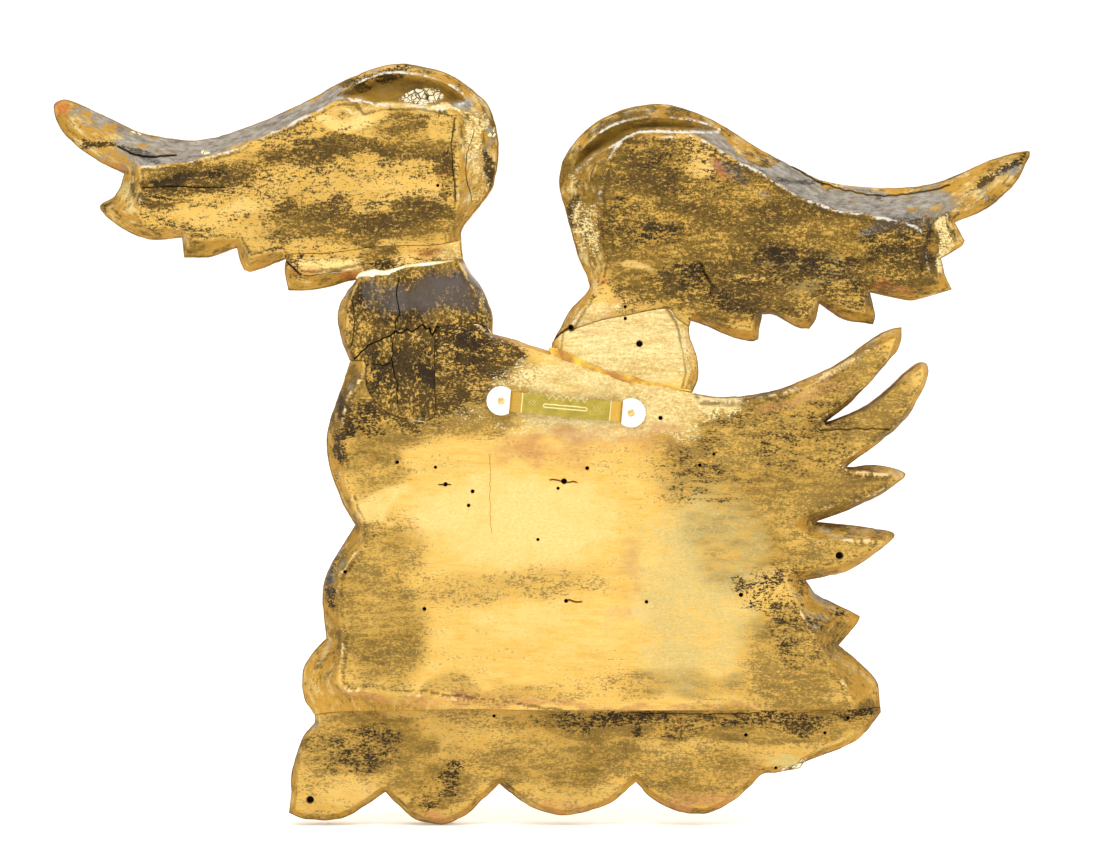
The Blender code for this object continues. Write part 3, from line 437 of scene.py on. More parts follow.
def lowerCarving():
    # Billows of cloud over the scallops
    return mounds(lowerFace, [
        (336, 775, 52, 50, -2, 8), (436, 775, 56, 52, -1, 8.5), (562, 765, 68, 55, -1, 9), (690, 762, 62, 54, -1, 8.5),
        (782, 735, 50, 42, -2, 7.5), (845, 715, 42, 36, -3, 6.5), (385, 730, 44, 34, 0, 5.5), (497, 728, 52, 34, 1, 6),
        (628, 722, 54, 32, 1, 6), (735, 712, 44, 26, 0, 5)])


# The films on each board, as ovals on the drawing: centre, radii, turn in degrees, thickness from 0 to 1.
# Their order gives each film its own noise, so an empty one keeps its place.
# Cracks are a line, half its width and its depth; holes are x, y and radius. All in drawing units.
# The grey-lilac ovals are no film: they mark where a painted sheen lies, on chamfers that face up and on the dark brown
# film
leftWingLook = {
    "spacing": 1.05,  # mm between the mesh's points
    "everywhere": {"patina": 0.36},
    "films": {
        "patina": [
            (370, 148, 84, 11, -4, 0.8), (300, 152, 46, 9, -6, 0.6), (407, 123, 22, 14, 0, 0.85),
            (447, 165, 12, 28, 0, 0.9), (365, 224, 84, 16, -3, 0.85), (420, 215, 38, 16, 0, 0.7),
            (236, 174, 44, 9, -10, 0.6), (200, 181, 55, 9, 0, 0.95), (170, 197, 22, 4, 0, 1.0),
            (345, 95, 16, 9, -30, 0.9), (285, 216, 26, 9, 0, 0.5)],
        "umber": [
            (187, 181, 36, 6, 0, 0.85), (172, 197, 18, 3, 0, 0.7), (102, 142, 16, 5, 20, 0.9),
            (135, 152, 30, 4, 15, 0.8), (372, 84, 40, 6, -18, 0.7), (493, 172, 5, 26, 0, 0.95),
            (451, 172, 6, 20, 0, 0.7)],
        "pale": [
            (222, 215, 50, 8, 0, 0.45), (345, 122, 38, 8, 0, 0.7), (405, 182, 36, 8, 0, 0.4),
            (400, 68, 60, 5, 0, 0.6)],
        "cream": [(476, 140, 14, 44, 0, 0.45), (400, 107, 62, 2.4, 0, 0.9), (470, 215, 8, 26, 12, 0.4)],
        "lilac": [
            (215, 138, 130, 18, -14, 1.0), (110, 124, 46, 14, 24, 1.0), (310, 112, 42, 12, -27, 1.0),
            (465, 112, 18, 6, 30, 0.8), (484, 150, 4, 30, 0, 0.9), (472, 180, 4, 24, 12, 0.8)],
        "bole": [
            (62, 108, 14, 10, 0, 0.9), (112, 165, 18, 10, 0, 0.35), (430, 176, 16, 3, 0, 0.5),
            (160, 236, 30, 4, 0, 0.4), (252, 266, 26, 4, -10, 0.4)],
        "gesso": [
            (425, 93, 24, 10, 0, 0.95), (494, 133, 5, 8, 0, 1.0), (97, 112, 5, 3, 20, 0.9),
            (128, 131, 8, 3, 20, 0.9), (202, 149, 5, 3, 0, 0.9)],
        "verdigris": [(124, 185, 10, 14, 0, 0.7)]},
    "holes": [(438, 186, 1.8)],
    "cracks": [
        ([(143, 188), (170, 187.5), (225, 188)], 0.9, 0.7),
        ([(118, 146), (140, 156), (175, 155)], 1.4, 1.0),
        ([(455, 120), (452, 150), (456, 200)], 0.8, 0.5),
        ([(474, 130), (466, 165), (471, 200)], 0.6, 0.5)]}

leftWingStripLook = {
    "spacing": 1.05,
    "everywhere": {"patina": 0.35},
    "films": {
        "patina": [(382, 255, 20, 12, 0, 0.95), (440, 255, 20, 10, 0, 0.6)],
        "umber": [(376, 262, 12, 6, 0, 0.6), (290, 266, 6, 8, 0, 0.5)],
        "pale": [(330, 262, 36, 8, 0, 0.8), (415, 256, 22, 10, 0, 0.7)],
        "cream": [(450, 255, 14, 12, 0, 0.4)],
        "lilac": [],
        "bole": [(352, 272, 12, 5, 0, 0.6), (300, 270, 16, 9, 0, 0.4), (415, 255, 22, 8, 0, 0.3)]},
    "cracks": [
        ([(288, 262), (295, 268), (302, 275)], 1.5, 1.0),
        ([(305, 276), (340, 272)], 0.8, 0.5)]}

neckLook = {
    "spacing": 0.9,
    "everywhere": {"patina": 0.4},
    "crackDepth": 0.0026,
    "films": {
        "patina": [(415, 330, 80, 90, 0, 0.75)],
        "umber": [
            (430, 292, 50, 26, 0, 0.9), (372, 308, 26, 30, 0, 0.55), (470, 318, 18, 20, 0, 0.7),
            (415, 345, 60, 22, 0, 0.5), (412, 388, 44, 30, 0, 0.7)],
        "pale": [
            (352, 300, 8, 28, 0, 0.5), (488, 322, 5, 14, 0, 0.9), (405, 340, 10, 12, 0, 0.5),
            (446, 338, 10, 8, 0, 0.4), (375, 376, 5, 8, 0, 0.4)],
        "cream": [(487, 305, 4, 26, 0, 0.35), (348, 318, 4, 30, 0, 0.3)],
        "lilac": [(445, 288, 40, 22, 8, 0.85), (386, 292, 26, 16, -15, 0.75)],
        "bole": [(343, 335, 7, 30, 0, 0.3)]},
    "cracks": [
        ([(352, 361), (360, 356), (371, 345), (386, 339), (396, 332), (401, 334), (408, 330), (413, 333),
         (418, 329), (423, 325), (427, 330), (430, 328), (433, 336), (437, 327), (443, 330), (450, 325),
         (456, 328), (461, 325), (468, 327), (472, 324.5), (480, 325.5)], 0.95, 1.0),
        ([(400, 280), (397, 295), (400, 315), (396, 321), (395, 336), (393, 363), (398, 384), (398, 402)], 0.6, 0.8),
        ([(372, 363.5), (383, 365), (391, 364)], 0.6, 0.6),
        ([(352, 300), (356, 320), (352, 345)], 0.6, 0.5)]}

rightWingLook = {
    "spacing": 1.05,
    "everywhere": {"patina": 0.34},
    "films": {
        "patina": [
            (640, 210, 62, 62, 0, 0.95), (760, 236, 120, 60, 15, 0.95), (880, 250, 62, 38, 0, 1.0),
            (700, 290, 90, 26, 12, 0.9), (600, 150, 46, 20, -40, 0.7), (640, 120, 60, 10, -12, 0.6)],
        "umber": [
            (640, 222, 48, 24, 0, 0.5), (682, 282, 26, 18, 0, 0.55), (890, 246, 40, 22, 8, 0.6),
            (812, 274, 56, 20, 15, 0.45), (700, 175, 70, 16, 20, 0.3), (740, 300, 50, 8, 10, 0.4),
            (569, 225, 6, 28, 0, 0.9), (942, 217, 8, 10, 30, 0.6), (927, 245, 3, 26, 0, 0.8),
            (1000, 168, 44, 3, -30, 0.6), (830, 186, 60, 3, 14, 0.5)],
        "pale": [
            (697, 170, 18, 13, 0, 0.62), (635, 270, 16, 7, 0, 0.6), (600, 300, 12, 8, 0, 0.5),
            (748, 280, 28, 4, -8, 0.5)],
        "cream": [
            (584, 240, 13, 60, -6, 0.42), (596, 318, 26, 12, -10, 0.75), (985, 195, 40, 5, -32, 0.3),
            (940, 245, 7, 26, 0, 0.6)],
        "lilac": [
            (730, 160, 46, 15, 40, 1.0), (790, 194, 56, 18, 24, 1.0), (865, 212, 64, 17, 6, 1.0),
            (925, 206, 30, 14, -14, 0.9), (985, 178, 56, 6, -26, 0.7)],
        "bole": [
            (606, 288, 8, 6, 0, 0.8), (620, 305, 24, 8, 0, 0.3), (720, 166, 20, 6, 30, 0.3),
            (900, 294, 30, 5, 5, 0.4)],
        "verdigris": [(812, 276, 44, 18, 10, 0.35)]},
    "holes": [(571, 327.5, 3.0), (625, 307, 1.8)],
    "cracks": [
        ([(787, 163), (815, 179), (846, 190), (876, 195), (900, 195), (930, 190), (950, 185)], 1.3, 0.7),
        ([(700, 264), (706, 276), (713, 288), (709, 293)], 2.0, 0.7),
        ([(720, 276), (745, 284), (772, 285)], 2.2, 0.4),
        ([(553, 341), (558, 335.5), (563, 332), (570, 328)], 1.4, 1.0)]}

shoulderLook = {
    "spacing": 0.95,
    "everywhere": {"patina": 0.05},
    "films": {
        "patina": [(683, 350, 8, 18, 0, 0.6)],
        "umber": [(572, 330, 6, 5, 0, 0.6)],
        "pale": [],
        "cream": [(625, 345, 75, 45, 0, 0.95)],
        "lilac": [],
        "bole": [(683, 352, 6, 16, 0, 0.4), (600, 330, 20, 6, 0, 0.2)]},
    "holes": [(639, 344, 3.6), (572, 329, 3.0), (625, 319, 1.8)]}

panelLook = {
    "spacing": 1.45,
    "everywhere": {"patina": 0.12},
    "crackDepth": 0.0024,
    "films": {
        "patina": [
            (745, 445, 95, 62, 0, 0.75), (860, 400, 54, 50, -40, 0.8), (850, 500, 70, 30, 0, 0.8),
            (830, 555, 60, 26, 0, 0.5), (745, 530, 50, 60, 0, 0.55), (372, 458, 32, 42, 0, 0.62),
            (374, 600, 48, 86, 0, 0.62), (404, 560, 26, 44, 0, 0.36), (385, 408, 64, 34, 0, 1.0),
            (480, 385, 54, 40, 0, 1.0), (460, 692, 110, 9, 0, 0.3), (500, 584, 100, 18, -8, 0.24),
            (800, 650, 60, 50, 0, 0.75), (710, 684, 80, 12, 0, 0.45), (790, 708, 90, 10, 0, 0.85)],
        "umber": [
            (458, 362, 48, 42, 0, 0.8), (500, 352, 34, 14, 20, 0.8), (408, 414, 56, 14, 0, 0.75),
            (775, 592, 34, 26, 0, 0.5), (838, 600, 14, 24, -40, 0.45), (340, 425, 8, 46, 0, 0.75),
            (700, 470, 60, 30, 0, 0.22), (760, 440, 70, 34, 0, 0.25), (820, 410, 60, 20, -30, 0.25),
            # the oval at (566, 402) is painted shadow: a dark line on the wood behind the hanger strip's teeth
            (566, 402, 19, 4, 3, 0.75), (332, 580, 5, 30, 0, 0.6), (800, 640, 30, 30, 0, 0.35)],
        "pale": [
            (515, 520, 95, 45, 0, 0.8), (560, 620, 80, 22, 0, 0.5), (375, 508, 26, 12, -20, 0.8),
            (760, 590, 20, 20, 0, 0.3)],
        "cream": [
            (610, 392, 112, 44, 0, 0.92), (700, 410, 40, 10, -8, 0.5), (470, 420, 40, 8, 0, 0.3),
            (840, 372, 50, 8, -30, 0.4)],
        "lilac": [(835, 380, 50, 12, -30, 0.3), (826, 592, 16, 20, -40, 0.45), (330, 560, 7, 40, 20, 0.6)],
        "bole": [
            (570, 446, 92, 15, 0, 0.62), (610, 430, 60, 8, 0, 0.5), (560, 707, 220, 2.5, 0, 0.7),
            (800, 395, 60, 6, -16, 0.5), (420, 695, 90, 4, 3, 0.5), (610, 600, 22, 60, 30, 0.25)],
        "gesso": [],
        "verdigris": [(695, 590, 62, 100, 0, 0.56), (720, 530, 34, 40, 0, 0.3)]},
    "holes": [
        (398, 462, 2.0), (436, 467, 1.8), (446, 484, 2.4), (473, 491, 2.2), (469, 505, 2.0), (587, 468, 2.2),
        (564, 481, 3.2), (558, 488, 1.8), (699, 465, 2.0), (538, 539, 1.8), (425, 608, 2.2), (566, 600, 2.2),
        (646, 601, 2.0), (740, 594, 2.4), (838, 555, 4.2), (660, 418, 2.4), (713, 454, 1.6), (346, 571, 2.0)],
    "cracks": [
        ([(552, 480), (576, 482)], 1.0, 0.8),
        ([(440, 484), (450, 485)], 1.0, 0.8),
        ([(567, 600), (581, 601)], 1.2, 0.8),
        ([(818, 430), (860, 429), (898, 430)], 1.1, 0.5),
        ([(490, 455), (491, 530)], 0.6, 0.2)]}

lowerLook = {
    "spacing": 1.15,
    "everywhere": {"patina": 0.36},
    "films": {
        # under the panel's ledge, the patina ovals at (710, 724) and (845, 714) and the umber ovals at (715, 722) and
        # (850, 718) are painted shadow over the brown film
        "patina": [
            (710, 724, 180, 15, 0, 1.0), (365, 745, 64, 30, 0, 0.95), (430, 785, 44, 20, 0, 0.7),
            (560, 760, 100, 24, 0, 0.4), (700, 775, 70, 20, 0, 0.35), (845, 714, 34, 12, 0, 1.0)],
        "umber": [
            (715, 722, 170, 9, 0, 0.55), (350, 742, 44, 22, 0, 0.42), (438, 790, 36, 10, -30, 0.4),
            (850, 718, 24, 10, 0, 0.6), (640, 742, 10, 8, 0, 0.4)],
        "pale": [(350, 790, 26, 12, 0, 0.4)],
        "cream": [],
        "lilac": [],
        "bole": [
            (590, 804, 56, 8, 0, 0.6), (700, 804, 52, 8, 0, 0.65), (744, 780, 18, 10, -30, 0.5),
            (450, 820, 40, 4, 0, 0.4)],
        "gesso": [(788, 763, 14, 5, -20, 0.7)],
        "verdigris": [(788, 763, 15, 7, 0, 0.9)]},
    "holes": [
        (310, 800, 4.2), (494, 716, 1.8), (848, 718, 2.0), (825, 733, 1.8), (746, 735, 2.0), (776, 768, 1.8)],
    "cracks": [
        ([(620, 712), (700, 714), (760, 713)], 0.8, 0.4)]}


noiseTable = np.random.default_rng(11).random((256, 256))


def smoothNoise(x, y, seed=0):
    # Random values on whole numbers, blended between them by a smooth step; 0 to 1
    x, y = x + 37.7 * seed, y + 91.3 * seed
    i, j = np.floor(x).astype(int), np.floor(y).astype(int)
    u, v = x - i, y - j
    u, v = u * u * (3 - 2 * u), v * v * (3 - 2 * v)
    a, b = noiseTable[i % 256, j % 256], noiseTable[(i + 1) % 256, j % 256]
    c, d = noiseTable[i % 256, (j + 1) % 256], noiseTable[(i + 1) % 256, (j + 1) % 256]
    return (a * (1 - u) + b * u) * (1 - v) + (c * (1 - u) + d * u) * v


def unevenness(points, across, down, octaves=4, seed=0):
    # Smooth noise added to itself at half the size and about half the height, centred on 0
    value, total, part = 0, 0, 1
    for k in range(octaves):
        value = value + part * smoothNoise(points[:, 0] / across * 2**k, points[:, 1] / down * 2**k, seed + k)
        total += part
        part *= 0.55
    return value / total - 0.5


def wander(points, size, octaves, seed, other):
    # An uneven shift of each point, in x and in y
    return np.stack([unevenness(points, *size, octaves, k) for k in (seed, other)], axis=1)


def coverage(points, ovals, seed=0):
    # How thickly a finish lies at each point: the strongest of its ovals, each fading over an uneven rim
    out = np.zeros(len(points))
    if not ovals:
        return out
    shifted = points + wander(points, (46, 30), 3, seed, seed + 9) * 34
    for x, y, long, wide, turn, strength in ovals:
        along, across = turned(shifted - (x, y), turn)
        out = np.maximum(out, strength * np.clip((1.3 - np.hypot(along / long, across / wide)) / 0.55, 0, 1))
    return out


toolWork = {
    "round": 1.4,            # drawing units: how softly the flat's border is broken
    "crease": 1.6,           # how far inside the border the dark crease lies
    "arris": 1.2,            # how far outside it the pale arris lies
    "hollowSide": 7.0,       # how far a hollow's side reaches in
    "marks": 0.0007,         # m: waves that the plane left on the flat
    "gouges": 0.0022,        # facets of the chamfers
    "rubbedEdge": 0.0013,    # rounding of the free rim
    "jointEdge": 0.0002,
    "faceMarks": 0.0005,
    "nibble": 2.4,           # drawing units worn off a free edge, at most about half of it
    "borderWander": 4.0,
    "crackWander": 3.0,
    "crackDepth": 0.0022,    # m
    "holeDepth": 2.2}        # times a crack's


class Board:
    # A carved board: its outline, its back flat with chamfers down to the rim, and what is carved on its face
    def __init__(self, stretches, back, chamfer, carving, ground, look, flat=None, chamferWidth=9.0,
                 hollow=None, deep=None):
        self.look = look
        drawn = [smooth(run, 1.5) if isinstance(run, list) else run for run in stretches]
        self.turn = np.sign(signedArea(np.vstack(drawn)))
        self.runs = []
        for k, stretch in enumerate(stretches):
            free = isinstance(stretch, list)
            line = divide(thinOut(drawn[k], outlineSlack) if free else stretch, outlineStep)
            if free:
                line = self.nibbled(line)
                line = line[1 if isinstance(stretches[k - 1], np.ndarray) else 0:-1]
            self.runs.append((free, line))
        self.ring = np.vstack([line for free, line in self.runs])
        self.free = [thinOut(smooth(run, 1.5), 0.35) for run in stretches if isinstance(run, list)]
        self.fine = [line for free, line in self.runs if free and len(line) > 1]
        self.back, self.chamfer, self.carving, self.ground = back, chamfer, carving, ground
        self.flat = None if flat is None else self.handCut(np.array(flat, float))
        self.chamferWidth = chamferWidth
        self.hollow = None if hollow is None else smooth(hollow + hollow[:1], 3.0)[:-1]
        self.deep = deep
        self.cracks = [(self.jagged(line), half, depth) for line, half, depth in look.get("cracks", [])]

    def nibbled(self, line):
        # A free edge worn inwards only, and not at its two corners
        if len(line) < 5:
            return line
        ends = np.minimum(np.arange(len(line)), np.arange(len(line))[::-1])
        lost = np.clip(unevenness(line, 14, 14, 3, 5) * toolWork["nibble"] + 0.15, 0, 1.1)
        lost *= np.clip(ends / 4, 0, 1)
        return line + sideways(np.gradient(line, axis=0)) * self.turn * lost[:, None]

    def handCut(self, corners):
        # The flat's border with the slight wander of a hand tool
        line = divide(closed(corners), 4.0)[:-1]
        return line + wander(line, (16, 16), 3, 21, 33) * toolWork["borderWander"]

    def jagged(self, line):
        # A crack's line, running unevenly through its points
        line = divide(smooth(line, 4.0) if len(line) > 2 else np.array(line, float), 3.0)
        return line + wander(line, (5, 5), 2, 41, 43) * toolWork["crackWander"]

    def edgeDistance(self, points):
        # Distance to the free outline, worked out exactly where it is near
        rough = np.min([distance(points, line) for line in self.free], axis=0)
        near = rough < 9
        if near.any():
            rough[near] = np.min([distance(points[near], line) for line in self.fine], axis=0)
        return rough

    def backDepth(self, points):
        # Flat, then a straight fall from the flat's border to the rim, then the scoop, tool marks and damage
        edge = self.edgeDistance(points)
        self.fromRim, self.rimNear = edge, np.exp(-edge / 1.6)
        self.ridgeIn = self.ridgeOut = self.scoop = np.zeros(len(points))
        if self.flat is None:
            self.share = np.clip(1 - edge / self.chamferWidth, 0, 1)
        else:
            border, within = distance(points, self.flat, ring=True), inside(points, self.flat)
            away = np.sqrt(np.where(within, 0, border)**2 + toolWork["round"]**2) - toolWork["round"]
            self.share = away / np.maximum(away + edge, 1e-6)
            fade = np.clip(edge / 4, 0, 1)
            self.ridgeIn = np.where(within, np.exp(-((border - toolWork["crease"]) / 1.6)**2), 0) * fade
            self.ridgeOut = np.where(within, 0, np.exp(-((border - toolWork["arris"]) / 1.4)**2)) * fade
        fall = self.chamfer
        if self.deep is not None:
            fall = np.where(inside(points, np.array(self.deep[0], float)), self.deep[1], fall)
        depth = self.back + fall * self.share
        if self.hollow is not None:
            border, within = distance(points, self.hollow, ring=True), inside(points, self.hollow)
            reach = np.where(within, border, 0)
            depth += hollowDepth * np.clip(reach / toolWork["hollowSide"], 0, 1)
            # how far into the hollow each point lies, for the hollow's painted shade
            self.scoop = np.clip(reach / 5.0, 0, 1)
            self.ridgeOut = np.maximum(self.ridgeOut, np.exp(-((border - 1) / 1.3)**2) * ~within)
        marks = unevenness(points, 70, 8, 4, 3) * toolWork["marks"]
        gouges = unevenness(points, 20, 13, 3, 7) * toolWork["gouges"]
        depth += np.where(self.share > 0.02, gouges, marks) * np.clip(edge / 6, 0.15, 1)
        rim = distance(points, self.ring, ring=True) * unit
        depth += np.maximum(worn(edge * unit, toolWork["rubbedEdge"]), worn(rim, toolWork["jointEdge"]))
        return depth + self.damage(points) * self.look.get("crackDepth", toolWork["crackDepth"])

    def damage(self, points):
        # 0 on the surface and up to 1 at the bottom of a hole or crack
        deep = np.zeros(len(points))
        for line, half, strength in self.cracks:
            near = np.abs(points - line.mean(axis=0)).max(axis=1) < np.abs(line - line.mean(axis=0)).max() + 4
            off = distance(points[near], line)
            deep[near] = np.maximum(deep[near], strength * np.clip(1 - off / half, 0, 1))
        for x, y, radius in self.look.get("holes", []):
            off = np.hypot(points[:, 0] - x, points[:, 1] - y) / radius
            deep = np.maximum(deep, np.clip((1 - off) / 0.3, 0, 1) * toolWork["holeDepth"])
        return deep

    def faceDepth(self, points):
        # The highest of the carved forms, rounded over at the free outline
        near = np.clip(self.edgeDistance(points) * unit / edgeRound, 0, 1)
        high, self.wear, self.phase = topmost(points, self.carving, self.ground)
        high += unevenness(points, 18, 18, 3, 13) * toolWork["faceMarks"]
        return high - edgeRound * (1 - np.sqrt(1 - (1 - near)**2))

    def backLines(self):
        # What the back's triangles follow: the flat's border, the hollow in steps, cracks and holes
        lines = [] if self.flat is None else [closed(self.flat)]
        if self.hollow is not None:
            middle = self.hollow.mean(axis=0)
            lines += [closed(middle + (self.hollow - middle) * scale) for scale in (1, 0.86, 0.72)]
        for line, half, strength in self.cracks:
            side = sideways(np.gradient(line, axis=0)) * half
            lines += [line + side, line, line - side]
        for x, y, radius in self.look.get("holes", []):
            lines += [(x, y) + closed(circle(12)) * radius * scale for scale in (1, 0.7)]
        return lines

    def faceLines(self):
        # Each carved form's edge and, just outside it, the foot of its cut, where they are in sight
        lines, own = [], []
        for form in self.carving:
            for grow, slack in ((-0.05, 0.0002), (1.7, 0.0035)):
                for line in form.edges(grow):
                    lines.append(line)
                    own.append(form.height(line)[0] + slack)
        if not lines:
            return []
        return runsWhere(lines, np.concatenate(own) > topmost(np.vstack(lines), self.carving, self.ground)[0])


def runsWhere(lines, kept):
    # The unbroken runs of the lines' points that are kept
    out, start = [], 0
    for line in lines:
        keep = kept[start:start + len(line)]
        start += len(line)
        for run in np.split(np.arange(len(line)), np.flatnonzero(np.diff(keep.astype(int))) + 1):
            if keep[run[0]] and len(run) > 1:
                out.append(line[run])
    return out


def worn(off, radius):
    # Fall of an edge rounded to a quarter circle, at a distance from it
    near = np.clip(off / radius, 0, 1)
    return radius * (1 - np.sqrt(1 - (1 - near)**2))


def topmost(points, carving, ground):
    # Height, wear and barb phase of the highest form at each point
    high = np.full(len(points), ground)
    wear = np.zeros(len(points))
    phase = np.zeros(len(points))
    for form in carving:
        low, top = form.box
        near = np.flatnonzero(((points > low - 14) & (points < top + 14)).all(axis=1))
        if not len(near):
            continue
        height, edge, barb = form.height(points[near])
        over = height > high[near]
        kept = near[over]
        high[kept], wear[kept], phase[kept] = height[over], edge[over], barb[over]
    return high, wear, phase


def clipped(lines, ring, margin):
    # The runs of each line that stay inside the outline by a margin
    if not lines:
        return []
    lines = [divide(line, 3.0) for line in lines]
    points = np.vstack(lines)
    return runsWhere(lines, inside(points, ring) & (distance(points, ring, ring=True) > margin))


def clearOf(points, taken, reach):
    # The points that no taken point is nearer to than about reach, by squares of that size
    low = np.minimum(points.min(axis=0), taken.min(axis=0)) - 4 * reach
    size = ((np.maximum(points.max(axis=0), taken.max(axis=0)) - low) / reach + 4).astype(int)
    full = np.zeros(size, bool)
    at = ((taken - low) / reach).astype(int)
    for i in (-1, 0, 1):
        for j in (-1, 0, 1):
            full[at[:, 0] + i, at[:, 1] + j] = True
    cell = ((points - low) / reach).astype(int)
    return points[~full[cell[:, 0], cell[:, 1]]]


def sheet(ring, lines, spacing):
    # Points on a triangular lattice inside the outline, joined into triangles that keep every carved line
    coords = [ring] + list(lines)
    edges = []
    count = len(ring)
    for line in lines:
        edges += [(k, k + 1) for k in range(count, count + len(line) - 1)]
        count += len(line)
    inwards = sideways(np.roll(ring, -1, axis=0) - np.roll(ring, 1, axis=0)) * np.sign(signedArea(ring))
    for off in (0.5, 1.1, 2.0):
        band = ring + inwards * off
        band = band[inside(band, ring)]
        band = band[distance(band, ring, ring=True) > off * 0.8]
        if len(band):
            coords.append(clearOf(band, np.vstack(coords[1:]), 0.5) if len(coords) > 1 else band)
    low, high = ring.min(axis=0), ring.max(axis=0)
    xs, ys = np.meshgrid(np.arange(low[0], high[0], spacing), np.arange(low[1], high[1], spacing * 0.866))
    xs[1::2] += spacing / 2
    grid = np.stack([xs.ravel(), ys.ravel()], axis=1)
    grid += wander(grid, (3.1, 3.1), 1, 51, 57) * spacing * 0.4
    coords.append(clearOf(grid[inside(grid, ring)], np.vstack(coords), spacing * 0.36))
    found = delaunay_2d_cdt([Vector(p) for p in np.vstack(coords)], edges, [list(range(len(ring)))], 1, 1e-4)
    home = {source: k for k, sources in enumerate(found[3]) for source in sources}
    faces = np.array([face for face in found[2] if len(face) == 3])
    return np.array([tuple(p) for p in found[0]]), faces, np.array([home[k] for k in range(len(ring))])


def signedArea(ring):
    # Half the sum of the cross products of neighbouring points; its sign says which way the ring runs
    after = np.roll(ring, -1, axis=0)
    return (ring[:, 0] * after[:, 1] - after[:, 0] * ring[:, 1]).sum() / 2


def facing(points, faces, sign):
    # Every triangle turned so that its area on the drawing has the sign asked for
    a, b, c = (points[faces[:, k]] for k in range(3))
    area = (b[:, 0] - a[:, 0]) * (c[:, 1] - a[:, 1]) - (c[:, 0] - a[:, 0]) * (b[:, 1] - a[:, 1])
    turned = np.where((area * sign > 0)[:, None], faces, faces[:, ::-1])
    return turned[np.abs(area) > 1e-9]


def meshFrom(name, verts, triangles, quads, fields=None, sharp=38):
    # Puts whole arrays of points and faces, and named values at the points, into a mesh
    mesh = bpy.data.meshes.new(name)
    mesh.vertices.add(len(verts))
    mesh.vertices.foreach_set("co", np.asarray(verts, np.float32).ravel())
    corners = np.concatenate([np.ravel(triangles), np.ravel(quads)]).astype(np.int32)
    starts = np.concatenate([np.arange(len(triangles)) * 3, len(triangles) * 3 + np.arange(len(quads)) * 4])
    mesh.loops.add(len(corners))
    mesh.loops.foreach_set("vertex_index", corners)
    mesh.polygons.add(len(starts))
    mesh.polygons.foreach_set("loop_start", starts.astype(np.int32))
    mesh.update(calc_edges=True)
    mesh.validate()
    mesh.shade_smooth()
    mesh.set_sharp_from_angle(angle=math.radians(sharp))
    for key, values in (fields or {}).items():
        mesh.attributes.new(key, "FLOAT", "POINT").data.foreach_set("value", np.asarray(values, np.float32))
    item = bpy.data.objects.new(name, mesh)
    bpy.context.scene.collection.objects.link(item)
    return item


def place(item, material, slotName, *nodes):
    # Gives the piece its material and its body, and hides the nodes it replaces
    item.data.materials.append(material)
    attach(item, "root")
    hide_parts(*nodes)


def ringQuads(index):
    # Quads between the neighbouring rows of a grid whose rows are closed
    after = np.roll(index, -1, axis=1)
    return np.stack([index[:-1], after[:-1], after[1:], index[1:]], axis=-1).reshape(-1, 4)


def closedSolid(name, ring, face, back, faceDepth, backDepth, toWorld, fieldsOf, rowHeight=0.0022):
    # A face sheet and a back sheet over one outline, and a wall of rows between their rims
    facePoints, faceFaces, faceRim = face
    backPoints, backFaces, backRim = back
    deepFace, deepBack = faceDepth(facePoints), backDepth(backPoints)
    faceXZ, backXZ = toWorld(facePoints), toWorld(backPoints)
    faceVerts = np.stack([faceXZ[:, 0], -deepFace, faceXZ[:, 1]], axis=1)
    backVerts = np.stack([backXZ[:, 0], -deepBack, backXZ[:, 1]], axis=1)
    top, foot = faceVerts[faceRim], backVerts[backRim]
    rows = max(2, math.ceil((foot[:, 1] - top[:, 1]).max() / rowHeight))
    shares = np.arange(1, rows) / rows
    middle = (top[None] * (1 - shares[:, None, None]) + foot[None] * shares[:, None, None]).reshape(-1, 3)
    count, n = len(faceVerts) + len(backVerts), len(ring)
    between = count + np.arange((rows - 1) * n).reshape(rows - 1, n)
    grid = np.vstack([faceRim[None], between, (len(faceVerts) + backRim)[None]])
    quads = np.roll(ringQuads(grid)[:, ::-1], 1, axis=1)
    if signedArea(ring) < 0:
        quads = quads[:, ::-1]
    backFaces = facing(backPoints, backFaces, -1) + len(faceVerts)
    triangles = np.vstack([facing(facePoints, faceFaces, 1), backFaces])
    verts = np.vstack([faceVerts, backVerts, middle])
    shown = np.concatenate([np.ones(len(faceVerts)), np.zeros(len(backVerts)), np.repeat(1 - shares, n)])
    drawn = np.vstack([facePoints, backPoints, np.tile(ring, (rows - 1, 1))])
    return meshFrom(name, verts, triangles, quads, fieldsOf(drawn, shown, len(facePoints), len(backPoints)))


